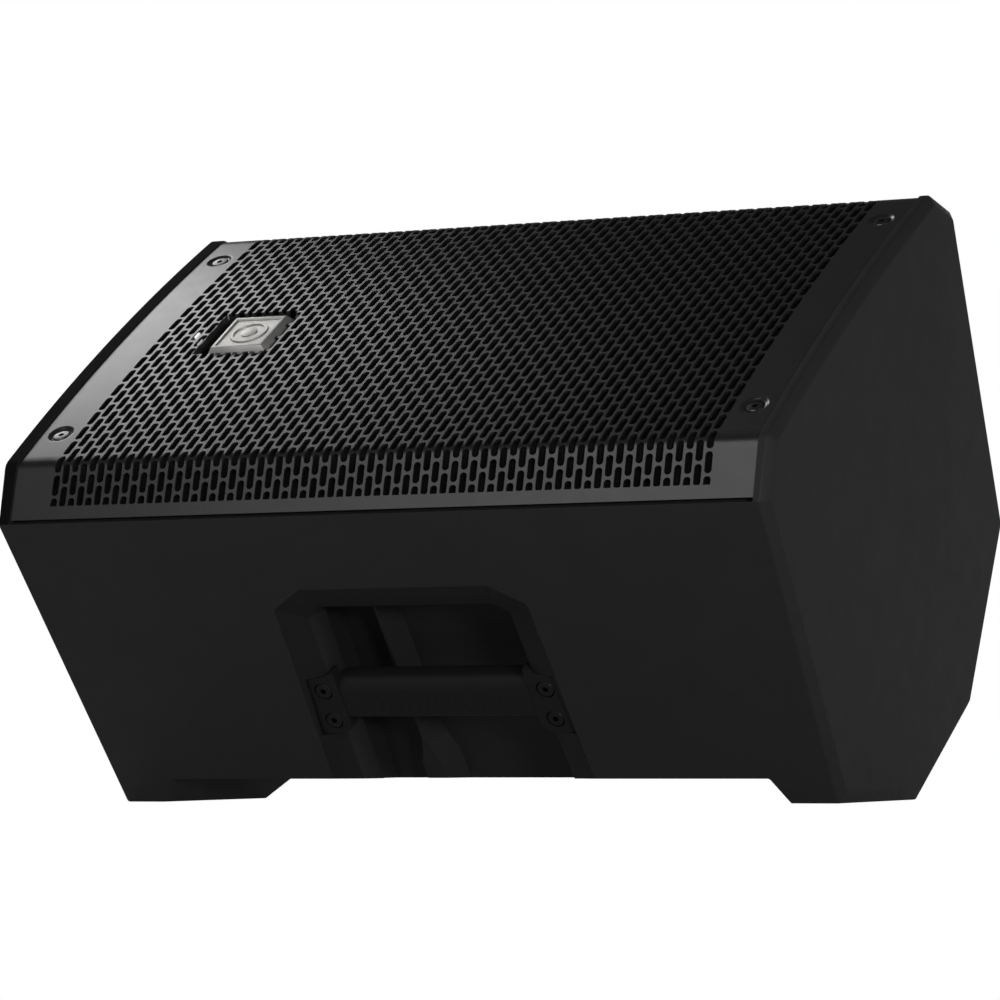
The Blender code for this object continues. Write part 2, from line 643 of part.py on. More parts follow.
def surround_profile():
    """A half roll between two flat lands, as a closed loop."""
    skin = 0.0008
    base = 0.0036
    middle = 0.0838
    reach = 0.0058
    angles = [math.pi * step / 4 for step in range(5)]
    under = [(middle + reach * math.cos(a), base + reach * math.sin(a)) for a in angles]
    over = [(middle + (reach + skin) * math.cos(a), base + skin + (reach + skin) * math.sin(a) * 0.97)
            for a in angles]
    outer_land = [(0.0970, base + skin), (0.0970, base)]
    inner_land = [(0.0740, base), (0.0740, base + skin)]
    return outer_land + under + inner_land + over[::-1]


def spider_profile():
    """A corrugated disc, as a closed loop."""
    skin = 0.0007
    radii = [0.0600, 0.0520] + [0.0460 - 0.0055 * step for step in range(5)] + [0.0206]
    waves = [0.0, 0.0] + [0.0010 * (-1) ** step for step in range(5)] + [0.0]
    under = [(radius, -0.0447 + wave) for radius, wave in zip(radii, waves)]
    over = [(radius, height + skin) for radius, height in under]
    return [over[0]] + under + over[:0:-1]


# ---- horn, driver and ports ----
def horn_ring(shape, half_x, half_y, height, squareness, sides=28):
    """One ring of the waveguide: a rounded rectangle at the mouth, a circle at the throat."""
    ring = []
    for step in range(sides):
        angle = 2 * math.pi * (step + 0.5) / sides
        c = math.cos(angle)
        s = math.sin(angle)
        stretch = (abs(c) ** squareness + abs(s) ** squareness) ** (-1 / squareness)
        ring.append(shape.verts.new((half_x * c * stretch, half_y * s * stretch, height)))
    return ring


def make_horn():
    """The waveguide, lofted from its rectangular mouth to the round throat, and its flange."""
    top = 0.0030
    rings = 5
    shape = bmesh.new()
    lofted = [horn_ring(shape, HORN_MOUTH[0] + 0.008, HORN_MOUTH[1] + 0.008, top, 9.0)]
    for step in range(rings + 1):
        open_by = 1 - step / rings
        grow = open_by ** 1.7
        half_x = THROAT_RADIUS + (HORN_MOUTH[0] - THROAT_RADIUS) * grow
        half_y = THROAT_RADIUS + (HORN_MOUTH[1] - THROAT_RADIUS) * grow
        height = top - (HORN_DEPTH + top) * step / rings
        lofted.append(horn_ring(shape, half_x, half_y, height, 2.0 + 4.0 * grow))
    for outer, inner in zip(lofted, lofted[1:]):
        count = len(outer)
        for step in range(count):
            after = (step + 1) % count
            shape.faces.new((outer[step], outer[after], inner[after], inner[step]))
    horn = new_object("horn_waveguide", finished(shape, "horn_waveguide"), SPEAKER, "baffle",
                      (HORN_X, 0.0, BAFFLE_FRONT))
    thick = horn.modifiers.new("Thick", "SOLIDIFY")
    thick.thickness = 0.0025
    thick.offset = -1
    turned("compression_driver", [
        (0.0, -0.0760), (THROAT_RADIUS, -0.0760), (THROAT_RADIUS, -0.0643 - 0.0006),
        (0.0280, -0.0649), (0.0280, -0.0700), (0.0420, -0.0720), (0.0420, -0.1000),
        (0.0360, -0.1060), (0.0, -0.1060)], "magnet", SPEAKER, (HORN_X, 0.0, BAFFLE_FRONT), 32, False)


def make_ports():
    """Two short bass ports beside the woofer."""
    wall = 0.003
    for number, side in enumerate((-1, 1), 1):
        turned("port_tube_%d" % number, [
            (0.0225, 0.0023), (0.0225, GAP), (PORT_RADIUS + wall, GAP),
            (PORT_RADIUS + wall, -PORT_LENGTH), (PORT_RADIUS, -PORT_LENGTH),
            (PORT_RADIUS, 0.0023)], "baffle", SPEAKER, (PORT_X, side * PORT_Y, BAFFLE_FRONT), 24)


# ---- rear panel ----
def panel_box(name, size, centre, look, place, round_by=0.0):
    """A box on the rear panel."""
    return new_object(name, box_mesh(name, size, centre, round_by), REAR, look, place)


def make_panel():
    """The amplifier's panel, cut for everything that passes through it."""
    size = (2 * PANEL_HALF[0], 2 * PANEL_HALF[1], PANEL_THICK)
    panel = new_object("rear_panel", box_mesh("rear_panel", size, (0, 0, -PANEL_THICK / 2)), REAR,
                       "panel")
    holes = [(INLET_X, 0.0286, 0.0216), (SWITCH_X, 0.0196, 0.0136), (SCREEN_X, 0.0206, 0.0346)]
    for x, wide, tall in holes:
        hole = box_mesh("panel_hole", (wide, tall, 0.02), (x, 0, 0))
        cut(panel, new_object("panel_hole", hole, REAR))
    round_places = [(LINK_X, 0.0), (JACK_X[0], 0.0), (JACK_X[1], 0.0)]
    drill(panel, REAR, 0.0121, round_places, -0.01, 0.01, 24)
    drill(panel, REAR, 0.0034, KNOB_PLACES + [(ENCODER_X, 0.0), AUX_PLACE], -0.01, 0.01, 16)
    drill(panel, REAR, 0.0018, panel_screw_places(), -0.01, 0.01, 10)
    return panel


def panel_screw_places():
    """The panel's four corner screws."""
    return [(x, y) for x in (-PANEL_SCREW[0], PANEL_SCREW[0]) for y in (-PANEL_SCREW[1], PANEL_SCREW[1])]


def make_inlet():
    """The mains inlet."""
    place = (INLET_X, 0.0, 0.0)
    inlet = panel_box("mains_inlet", (0.0400, 0.0280, 0.0018), (0, 0, 0.0012), "jack", place, 0.0006)
    body = box_mesh("inlet_body", (0.0280, 0.0210, 0.0245), (0, 0, -0.0112))
    cut(inlet, new_object("inlet_body", body, REAR, None, place), "UNION")
    hollow = box_mesh("inlet_hollow", (0.0244, 0.0168, 0.0200), (0, 0, -0.0055))
    return cut(inlet, new_object("inlet_hollow", hollow, REAR, None, place))


def make_switch():
    """The power switch: its frame, and the rocker at its on position."""
    place = (SWITCH_X, 0.0, 0.0)
    frame = panel_box("switch_frame", (0.0220, 0.0160, 0.0016), (0, 0, 0.0011), "jack", place, 0.0004)
    body = box_mesh("switch_body", (0.0190, 0.0130, 0.0145), (0, 0, -0.0062))
    cut(frame, new_object("switch_body", body, REAR, None, place), "UNION")
    hollow = box_mesh("switch_hollow", (0.0165, 0.0105, 0.0200), (0, 0, 0.0008))
    cut(frame, new_object("switch_hollow", hollow, REAR, None, place))
    rocker = new_object("power_rocker", box_mesh("power_rocker", (0.0152, 0.0096, 0.0065),
                        (0, 0, -0.0002), 0.0005), REAR, "jack",
                        (SWITCH_X, 0.0, -0.0010), (0, -SWITCH_TILT, 0))
    return rocker


def make_jack(name, x, bore, latch_name=None):
    """A panel socket on a rectangular flange, with a latch tab where it has one."""
    place = (x, 0.0, 0.0)
    jack = panel_box(name, (0.0260, 0.0310, 0.0016), (0, 0, 0.0011), "jack", place, 0.0006)
    body = cylinder_mesh("jack_body", 0.0118, -0.0280, 0.0010, 24)
    cut(jack, new_object("jack_body", body, REAR, None, place), "UNION")
    well = cylinder_mesh("jack_well", bore, -0.0140, 0.01, 20)
    cut(jack, new_object("jack_well", well, REAR, None, place))
    if latch_name:
        slot = box_mesh("latch_slot", (0.0054, 0.0030, 0.016), (0, 0.0101, -0.0005 + 0.0025))
        cut(jack, new_object("latch_slot", slot, REAR, None, place))
        tab = box_mesh(latch_name, (0.0048, 0.0024, 0.0042), (0, 0, 0.0), 0.0003)
        new_object(latch_name, tab, REAR, "jack", (x, 0.0101, 0.0006))
    return jack


def make_aux():
    """The small line input."""
    return turned("aux_jack", [
        (0.0, -0.0080), (0.0018, -0.0080), (0.0018, 0.0022), (0.0042, 0.0022), (0.0042, GAP),
        (0.0030, GAP), (0.0030, -0.0110), (0.0, -0.0110)], "jack", REAR, (*AUX_PLACE, 0.0), 16, False)


def make_knob(name, place):
    """A gain knob on its own shaft, with a pointer groove."""
    knob = turned(name, [
        (0.0, 0.0110), (0.0058, 0.0110), (0.0066, 0.0102), (0.0070, 0.0012), (0.0030, 0.0012),
        (0.0030, -0.0070), (0.0, -0.0070)], "jack", REAR, (*place, 0.0), 24, False)
    groove = box_mesh("knob_groove", (0.0060, 0.0010, 0.0010), (0.0045, 0, 0.0112))
    return cut(knob, new_object("knob_groove", groove, REAR, None, (*place, 0.0)))


def make_encoder():
    """The menu control: a shaft that pushes in, and the knob that turns on it."""
    place = (ENCODER_X, 0.0, 0.0)
    turned("encoder_shaft", [(0.0, 0.0070), (0.0030, 0.0070), (0.0030, -0.0080), (0.0, -0.0080)],
           "aluminium", REAR, place, 16, False)
    knob = turned("encoder_knob", [
        (0.0, 0.0073), (0.0033, 0.0073), (0.0033, 0.0012), (0.0075, 0.0012), (0.0072, 0.0100),
        (0.0064, 0.0108), (0.0, 0.0108)][::-1], "jack", REAR, place, 24, False)
    groove = box_mesh("encoder_groove", (0.0060, 0.0010, 0.0010), (0.0050, 0, 0.0110))
    return cut(knob, new_object("encoder_groove", groove, REAR, None, place))


def make_electronics():
    """The amplifier behind the panel."""
    panel_box("screen_window", (0.0200, 0.0340, 0.0020), (0, 0, -0.0008), "screen",
              (SCREEN_X, 0.0, 0.0))
    panel_box("amp_board", (0.2200, 0.0460, 0.0016), (0, 0, -0.0320), "board", (0, 0, 0))
    base = 0.003
    fins = 6
    fin_half = 0.001
    fin_tip = 0.020
    pitch = 0.0072
    wide = pitch * (fins - 1) + 2 * fin_half
    points = [(-wide / 2, 0.0), (wide / 2, 0.0)]
    for fin in range(fins - 1, -1, -1):
        middle = pitch * (fin - (fins - 1) / 2)
        points += [(middle + fin_half, base), (middle + fin_half, fin_tip),
                   (middle - fin_half, fin_tip), (middle - fin_half, base)]
    sink = outline_mesh("heat_sink", points, 0.080, along_length())
    new_object("heat_sink", sink, REAR, "aluminium", (-0.055, 0.0, -0.0331), (math.pi, 0, 0))
    panel_box("transformer", (0.0380, 0.0340, 0.0280), (0, 0, -0.0140), "coil",
              (0.020, 0.0, -0.0331), 0.003)
    for number, x in enumerate((0.060, 0.084), 1):
        turned("capacitor_%d" % number, [(0.0, 0.0), (0.0090, 0.0), (0.0090, -0.0300), (0.0, -0.0300)],
               "jack", REAR, (x, 0.0, -0.0331), 20, False)


# ---- badge end ----
def make_end():
    """The pole cup and the four rubber pads of the end that the cabinet stands on."""
    deep = POLE_DEPTH
    turned("pole_cup", [
        (0.0, -deep), (POLE_RADIUS, -deep), (POLE_RADIUS, -0.0001), (0.0310, -0.0001),
        (0.0310, -0.0020), (POLE_RADIUS + 0.0037, -0.0020), (POLE_RADIUS + 0.0037, -deep - 0.003),
        (0.0, -deep - 0.003)], "steel", END, (POLE_CENTRE, 0.0, 0.0), 32, False)
    low = -PAD_RECESS + GAP
    for number, place in enumerate(PAD_PLACES, 1):
        turned("end_pad_%d" % number, [
            (0.0, PAD_THICK + low), (PAD_RADIUS - 0.001, PAD_THICK + low), (PAD_RADIUS, PAD_THICK + low - 0.001),
            (PAD_RADIUS, low), (0.0, low)], "rubber", END, (*place, 0.0), 20, False)


def main():
    """Build every piece in the cabinet's own axes."""
    make_enclosure()
    make_baffle()
    make_grille()
    make_foam()
    make_screws("grille_screw", grille_screw_places(), SPEAKER, 0.0004,
                (0.0048, 0.0024, 0.0025, 0.0120, 0.0017))
    make_badge()
    make_light()
    make_handle()
    make_screws("handle_screw", handle_screw_places(), SIDE, PLATE_FRONT + 0.0002,
                (0.0049, 0.0028, 0.0025, 0.0180, 0.0017), (math.pi, 0.0, 0.0))
    make_woofer()
    make_horn()
    make_ports()
    make_panel()
    make_inlet()
    make_switch()
    make_jack("link_output", LINK_X, 0.0086)
    make_jack("combo_jack_1", JACK_X[0], 0.0078, "jack_latch_1")
    make_jack("combo_jack_2", JACK_X[1], 0.0078, "jack_latch_2")
    make_aux()
    make_knob("gain_knob_1", KNOB_PLACES[0])
    make_knob("gain_knob_2", KNOB_PLACES[1])
    make_encoder()
    make_electronics()
    make_end()
    make_screws("panel_screw", panel_screw_places(), REAR, 0.0018,
                (0.0028, 0.0015, 0.0015, 0.0065, 0.0010))


def side_span(corner):
    """How far a section corner lies along the floor from the front foot line."""
    across, out = corner
    return (math.cos(TILT) * (across + TAPER_HALF) - math.sin(TILT) * (out + TAPER_DEPTH))


def rest_on_floor():
    """Where the cabinet's axes go, so that its feet rest at Z = 0 about the middle of its box."""
    front_foot = Matrix.Rotation(TILT, 3, "X") @ Vector((0.0, -TAPER_HALF, -TAPER_DEPTH))
    near = side_span((-SIDE_HALF, -SIDE_DEPTH))
    far = side_span((TAPER_HALF, -TAPER_DEPTH))
    pad_tip = DRAFT * (PAD_PLACES[0][0] + PAD_RADIUS) + PAD_THICK - PAD_RECESS + GAP
    plain_tip = -DRAFT * PLAIN_CHAMFER[1]
    return ((pad_tip - plain_tip) / 2, -front_foot.y - (near + far) / 2, -front_foot.z)


clear_scene()
PARTS = new_collection("stage_monitor_wedge")
CUTTERS = new_collection("cutters")
SPEAKER = new_axes("speaker_axes", None, rest_on_floor(), (TILT, 0.0, 0.0))
SIDE = new_axes("handle_axes", SPEAKER, (0.0, -SIDE_HALF, -SIDE_DEPTH), (SIDE_ANGLE, 0.0, 0.0))
REAR = new_axes("panel_axes", SPEAKER, (0.0, PANEL_Y, PANEL_SUNK - BACK_DEPTH), (math.pi, 0.0, 0.0))
END = new_axes("end_axes", SPEAKER, (-LENGTH / 2, 0.0, 0.0), (0.0, -math.pi / 2 - END_LEAN, 0.0))
main()
bpy.context.view_layer.update()
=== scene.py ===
import json
import math

import bmesh
import bpy
import numpy as np
from mathutils import Matrix, Vector


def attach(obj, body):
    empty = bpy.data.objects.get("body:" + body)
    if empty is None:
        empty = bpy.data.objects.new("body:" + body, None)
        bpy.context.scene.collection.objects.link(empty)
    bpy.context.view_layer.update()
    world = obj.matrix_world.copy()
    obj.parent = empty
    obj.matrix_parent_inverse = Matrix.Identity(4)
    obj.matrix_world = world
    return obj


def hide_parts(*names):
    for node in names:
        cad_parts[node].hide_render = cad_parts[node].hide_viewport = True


# The looks of the stage monitor wedge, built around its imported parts.  Pieces are drawn in the cabinet's own
# axes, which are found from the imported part: X along the length (the badge end is at -X), Y across the baffle
# and Z out of it.  Lengths are metres.
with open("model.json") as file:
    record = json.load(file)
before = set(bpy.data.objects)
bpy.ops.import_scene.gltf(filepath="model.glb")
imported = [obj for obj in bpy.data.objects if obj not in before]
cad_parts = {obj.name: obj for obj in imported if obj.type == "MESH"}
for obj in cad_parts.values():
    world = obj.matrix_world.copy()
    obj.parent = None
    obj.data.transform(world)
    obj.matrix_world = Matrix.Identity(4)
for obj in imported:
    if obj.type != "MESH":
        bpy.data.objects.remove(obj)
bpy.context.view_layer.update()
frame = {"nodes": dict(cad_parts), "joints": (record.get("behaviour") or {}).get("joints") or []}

# ---- cabinet, as in the part ----
LENGTH = 0.458
LIP_HALF = 0.1305
SIDE_HALF = 0.156
SIDE_DEPTH = 0.024
TAPER_HALF = 0.141
TAPER_DEPTH = 0.215
BACK_HALF = 0.046
BACK_DEPTH = 0.277
BOW = 0.005
DRAFT = 0.0457
PLAIN_CHAMFER = (0.0038, 0.006)   # plain end: along the length, across the end face
BADGE_CHAMFER = (0.0008, 0.0012)  # badge end, nearly square
WALL = 0.0045
END_WALL = 0.0055
GAP = 0.0003
CORNER_ROUND = 0.009      # radius of the section where the front turns into each lip
EDGE_ROUND = 0.0009
FOOT_HEIGHT = 0.013
FOOT_TOP_HALF = 0.181
FOOT_FLOOR_HALF = 0.189
FOOT_SHORTER = 0.006      # the foot at the badge end is this much shorter
END_LEAN = math.atan(DRAFT)
SIDE_ANGLE = math.atan2(SIDE_DEPTH - TAPER_DEPTH, SIDE_HALF - TAPER_HALF)

# ---- grille ----
GRILLE_SINK = 0.001
GRILLE_THICK = 0.0015
GRILLE_HALF = 0.2205
LIP_SHORT = 0.0028
COLUMNS = 71
COLUMN_PITCH = 0.005548
ROW_PITCH = 0.01479
SLOT_LENGTH = 0.0132
SLOT_WIDTH = 0.0041
SLOT_END_STEPS = 6        # flats in each round end of a slot
FIRST_ROW = 0.0072        # from the near bend to the middle of the first row of slots
LIP_SQUEEZE = 0.88        # slots on the lips are this much shorter
LIP_BORDER = 0.0073       # solid steel below the last slots
SCREW_X = 0.208
SCREW_Y = 0.101
DIMPLE_RADIUS = 0.0078
DIMPLE_DEPTH = 0.0011
SCREW_HOLE = 0.0052
SHANK_HOLE = 0.0028
BADGE_X = -0.1360
BADGE_Y = -0.0013
BADGE_TOP = (0.0325, 0.0340)
BADGE_FOOT = (0.0380, 0.0385)
RECESS_X = (-0.1645, -0.1180)     # the grille is pressed down past the badge's left and far sides
RECESS_Y = (-0.0205, 0.0262)
RECESS_WALL = 0.0012
RECESS_DEPTH = 0.0042
LIGHT_X = -0.172
LIGHT_Y = 0.0021
FOAM_HALF = 0.1965
FOAM_THICK = 0.0020

# ---- handle pocket, in the side's axes: along the length, down the side, into the cabinet ----
POCKET_TOP = 0.048
POCKET_TOP_HALF = 0.056
POCKET_SHOULDER = 0.0605
POCKET_SHOULDER_HALF = 0.0755
POCKET_FOOT = 0.230
POCKET_FOOT_HALF = 0.081
POCKET_BORDER = 0.0150
POCKET_BEVEL = 0.005
POCKET_DEPTH = 0.040
POCKET_WALL = 0.0035
RIB_FRONT = 0.0280
RIB_RIDGE = (-0.0345, -0.0328)    # the rib's narrow front, and where its sloping flank meets the back
RIB_FOOT = -0.0258
BAR_MIDDLE = 0.1240
BAR_HEIGHT = 0.0245
BAR_FRONT = 0.0035
BAR_THICK = 0.0175
PLATE_MIDDLE = 0.1275
PLATE_HALF = 0.0190
PLATE_INNER = 0.0575
PLATE_OUTER = 0.0745
PLATE_FRONT = 0.0028
PLATE_BACK = 0.0100
HANDLE_SCREW_X = 0.0672
HANDLE_SCREW_STEP = 0.0098

# ---- rear panel ----
PANEL_Y = 0.012
PANEL_SUNK = 0.012
PANEL_HALF = (0.125, 0.029)
PANEL_THICK = 0.002
PANEL_SCREW = (0.1205, 0.0245)
ENCODER_X = 0.108
INLET_X = -0.096
LINK_X = -0.031
JACK_X = (0.002, 0.035)
SCREEN_X = 0.088
GAIN_PLACES = [(0.0665, -0.009), (0.0665, 0.0125)]

# ---- badge end: from the middle of its outer face ----
POLE_CENTRE = -0.150
POLE_RADIUS = 0.0182
POLE_RIM = 0.031
POLE_DEPTH = 0.078
PAD_RADIUS = 0.011
PAD_THICK = 0.0035
PAD_PLACES = [(-0.045, -0.118), (-0.045, 0.118), (-0.205, -0.095), (-0.205, 0.095)]

# ---- stage ----
WHITE = (1.0, 1.0, 1.0, 1.0)
CAMERA_PLACE = (1.1285, -2.2000, 0.0425)
CAMERA_AIM = (-0.45950, 0.88680, 0.05010)   # the way that it looks
CAMERA_ROLL = -0.0064
CAMERA_LENS = 160.6


# ---- axes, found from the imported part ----
def find_axes():
    """The cabinet's axes, from where the menu knob's joint is, and the three sets that hang on them."""
    knob = next(joint for joint in frame["joints"] if joint["name"] == "encoder_turn")
    out = Vector(knob["axis"])
    turn = Matrix.Rotation(math.atan2(out.y, -out.z), 4, "X")
    panel_middle = Vector(knob["pos_m"]) - Vector((ENCODER_X, 0.0, 0.0))
    origin = panel_middle - turn @ Vector((0.0, PANEL_Y, PANEL_SUNK - BACK_DEPTH))
    speaker = Matrix.Translation(origin) @ turn
    side = Matrix.Translation((0.0, -SIDE_HALF, -SIDE_DEPTH)) @ Matrix.Rotation(SIDE_ANGLE, 4, "X")
    rear = Matrix.Translation((0.0, PANEL_Y, PANEL_SUNK - BACK_DEPTH)) @ Matrix.Rotation(math.pi, 4, "X")
    lean = Matrix.Rotation(-math.pi / 2 - END_LEAN, 4, "Y")
    end = Matrix.Translation((-LENGTH / 2, 0.0, 0.0)) @ lean
    return speaker, speaker @ side, speaker @ rear, speaker @ end


SPEAKER, SIDE, REAR, END = find_axes()


# ---- mesh helpers ----
def placed(name, data, axes, offset=(0.0, 0.0, 0.0)):
    """An object at a place in one set of axes."""
    made = bpy.data.objects.new(name, data)
    bpy.context.scene.collection.objects.link(made)
    made.matrix_world = axes @ Matrix.Translation(offset)
    return made


def solid(name, shape, axes, offset=(0.0, 0.0, 0.0)):
    """A bmesh made into an object at a place in one set of axes."""
    bmesh.ops.recalc_face_normals(shape, faces=shape.faces)
    mesh = bpy.data.meshes.new(name)
    shape.to_mesh(mesh)
    shape.free()
    return placed(name, mesh, axes, offset)


def bevelled(shape, edges, width, steps=2):
    """Round some edges of a bmesh."""
    bmesh.ops.bevel(shape, geom=edges, offset=width, segments=steps, profile=0.5, affect="EDGES")


def inset_crown(shape, *steps):
    """Inset the highest face, each time by a width and a rise."""
    crown = max(shape.faces, key=lambda face: (round(face.calc_center_median().z, 6), face.calc_area()))
    for width, rise in steps:
        bmesh.ops.inset_region(shape, faces=[crown], thickness=width, depth=rise, use_even_offset=True)


def cleared(shape):
    """Remove the vertices that no face uses."""
    loose = [vertex for vertex in shape.verts if not vertex.link_faces]
    bmesh.ops.delete(shape, geom=loose, context="VERTS")


def thickened(piece, thickness):
    """Give a sheet its thickness, inwards."""
    thick = piece.modifiers.new("Thick", "SOLIDIFY")
    thick.thickness = thickness
    thick.offset = -1
    return applied(piece)


def box_shape(size, centre=(0.0, 0.0, 0.0), round_by=0.0, steps=2):
    """A box as a bmesh, its edges rounded where asked."""
    shape = bmesh.new()
    bmesh.ops.create_cube(shape, size=1.0)
    bmesh.ops.scale(shape, vec=size, verts=shape.verts)
    bmesh.ops.translate(shape, vec=centre, verts=shape.verts)
    if round_by:
        bevelled(shape, shape.edges, round_by, steps)
    return shape


def prism_shape(points, low, high, matrix=None):
    """A flat outline given a thickness, as a bmesh."""
    shape = bmesh.new()
    face = shape.faces.new([shape.verts.new((x, y, low)) for x, y in points])
    grown = bmesh.ops.extrude_face_region(shape, geom=[face])
    raised = [item for item in grown["geom"] if isinstance(item, bmesh.types.BMVert)]
    bmesh.ops.translate(shape, vec=(0.0, 0.0, high - low), verts=raised)
    bmesh.ops.recalc_face_normals(shape, faces=shape.faces)
    if matrix:
        bmesh.ops.transform(shape, matrix=matrix, verts=shape.verts)
    return shape


def rounded(points, radii, closed=True, steps=6):
    """The outline with each corner turned into an arc of its own radius."""
    made = []
    count = len(points)
    for index, (point, radius) in enumerate(zip(points, radii)):
        if not radius or (not closed and index in (0, count - 1)):
            made.append(tuple(point))
            continue
        corner = Vector(point)
        before = (Vector(points[index - 1]) - corner).normalized()
        after = (Vector(points[(index + 1) % count]) - corner).normalized()
        half = before.angle(after) / 2
        centre = corner + (before + after).normalized() * radius / math.sin(half)
        start = corner + before * radius / math.tan(half) - centre
        end = corner + after * radius / math.tan(half) - centre
        turn = math.atan2(start.x * end.y - start.y * end.x, start.dot(end))
        for step in range(steps + 1):
            arm = Matrix.Rotation(turn * step / steps, 2) @ start
            made.append(tuple(centre + arm))
    return made


def inset(points, distances):
    """Move each side of a closed outline inwards by its own distance; the outline runs clockwise."""
    lines = []
    for (x0, y0), (x1, y1), distance in zip(points, points[1:] + points[:1], distances):
        length = math.hypot(x1 - x0, y1 - y0)
        normal = ((y1 - y0) / length, -(x1 - x0) / length)
        lines.append((normal, normal[0] * x0 + normal[1] * y0 + distance))
    moved = []
    for (before, held_before), (after, held_after) in zip(lines[-1:] + lines[:-1], lines):
        spread = before[0] * after[1] - before[1] * after[0]
        x = (held_before * after[1] - held_after * before[1]) / spread
        y = (held_after * before[0] - held_before * after[0]) / spread
        moved.append((x, y))
    return moved


def turned_shape(profile, sides):
    """A turned solid from (radius, height) points that start and end on the axis, or a ring that closes."""
    shape = bmesh.new()
    rings = []
    for radius, height in profile:
        angles = [2 * math.pi * side / sides for side in range(sides)] if radius > 1e-7 else [0.0]
        rings.append([shape.verts.new((radius * math.cos(a), radius * math.sin(a), height)) for a in angles])
    for lower, upper in zip(rings, rings[1:]):
        join_rings(shape, lower, upper, sides)
    return shape


def join_rings(shape, lower, upper, sides):
    """Faces between two rings, either of which may be a single point."""
    for side in range(sides):
        after = (side + 1) % sides
        corners = [lower[side % len(lower)], lower[after % len(lower)], upper[after % len(upper)],
                   upper[side % len(upper)]]
        shape.faces.new(list(dict.fromkeys(corners)))


def applied(piece):
    """Replace a piece's mesh by what its modifiers make of it."""
    bpy.context.view_layer.update()
    evaluated = piece.evaluated_get(bpy.context.evaluated_depsgraph_get())
    mesh = bpy.data.meshes.new_from_object(evaluated)
    piece.modifiers.clear()
    piece.data = mesh
    return piece


def carved(piece, cutters, how="DIFFERENCE"):
    """Cut a piece with others, or join them to it, then remove them."""
    for cutter in cutters:
        step = piece.modifiers.new(cutter.name, "BOOLEAN")
        step.operation = how
        step.solver = "EXACT"
        step.object = cutter
    applied(piece)
    for cutter in cutters:
        bpy.data.objects.remove(cutter, do_unlink=True)
    return piece


def dressed(piece, body, looks, replaced, sharp=32):
    """Give a piece its finishes, its body and the CAD nodes that it stands for."""
    looks = looks if isinstance(looks, list) else [looks]
    chosen = [min(face.material_index, len(looks) - 1) for face in piece.data.polygons]
    piece.data.materials.clear()
    for look in looks:
        piece.data.materials.append(look)
    piece.data.polygons.foreach_set("material_index", chosen)
    piece.data.shade_smooth()
    piece.data.set_sharp_from_angle(angle=math.radians(sharp))
    piece.data.transform(piece.matrix_world)
    piece.matrix_world = Matrix.Identity(4)
    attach(piece, body)
    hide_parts(*replaced)
    return piece


# ---- materials ----
def node(tree, kind, **inputs):
    """A shader node, its inputs linked or set; _ stands for the spaces in their names."""
    made = tree.nodes.new("ShaderNode" + kind)
    for name, value in inputs.items():
        socket = made.inputs[name.replace("_", " ")]
        if isinstance(value, bpy.types.NodeSocket):
            tree.links.new(value, socket)
        else:
            socket.default_value = value
    return made


def own_place(tree):
    """The piece's own coordinates."""
    return node(tree, "TexCoord").outputs["Object"]


def noise(tree, scale, detail=3.0, rough=0.55, stretch=(1.0, 1.0, 1.0)):
    """A noise field."""
    where = node(tree, "Mapping", Vector=own_place(tree), Scale=stretch).outputs["Vector"]
    return node(tree, "TexNoise", Vector=where, Scale=scale, Detail=detail, Roughness=rough).outputs["Fac"]


def cells(tree, scale, feature="F1"):
    """A cell pattern."""
    field = node(tree, "TexVoronoi", Vector=own_place(tree), Scale=scale)
    field.feature = feature
    return field.outputs["Distance"]


def waves(tree, scale, direction, distortion=0.0):
    """Bands that follow one another along one direction."""
    field = node(tree, "TexWave", Vector=own_place(tree), Scale=scale, Distortion=distortion)
    field.bands_direction = direction
    return field.outputs["Fac"]


def ranged(tree, value, low, high, start=0.3, stop=0.7):
    """Map a field from start..stop to low..high."""
    return node(tree, "MapRange", Value=value, From_Min=start, From_Max=stop, To_Min=low,
                To_Max=high).outputs["Result"]


def shade(colour, share):
    """A colour made lighter or darker."""
    return tuple(channel * share for channel in colour)


def new_look(name, colour, roughness, tint, sheen=None, bumps=(), metallic=0.0, specular=0.5, glow=None):
    """A Principled material that varies over the piece.

    tint is a field, two colours and the values of the field where they are reached, sheen is a field and the
    roughness at its two ends, and bumps are fields with heights in metres, chained.  A field is a function
    and its values.
    """
    made = bpy.data.materials.new(name)
    made.use_nodes = True
    made.diffuse_color = (*colour, 1.0)
    tree = made.node_tree
    shader = tree.nodes["Principled BSDF"]
    settings = {"Base Color": made.diffuse_color, "Roughness": roughness, "Metallic": metallic,
                "Specular IOR Level": specular}
    if glow:
        settings["Emission Color"], settings["Emission Strength"] = glow
    for socket, value in settings.items():
        shader.inputs[socket].default_value = value
    drawn = {}

    def field(recipe):
        if recipe not in drawn:
            drawn[recipe] = recipe[0](tree, *recipe[1:])
        return drawn[recipe]

    source, dark, light, *span = tint
    ramp = node(tree, "ValToRGB", Fac=field(source))
    for element, place, paint in zip(ramp.color_ramp.elements, span or (0.3, 0.7), (dark, light)):
        element.position = place
        element.color = (*paint, 1.0)
    tree.links.new(ramp.outputs["Color"], shader.inputs["Base Color"])
    if sheen:
        tree.links.new(ranged(tree, field(sheen[0]), *sheen[1:]), shader.inputs["Roughness"])
    below = shader.inputs["Normal"]
    for source, height in reversed(bumps):
        bump = node(tree, "Bump", Strength=1.0, Distance=height, Height=field(source))
        tree.links.new(bump.outputs["Normal"], below)
        below = bump.inputs["Normal"]
    return made


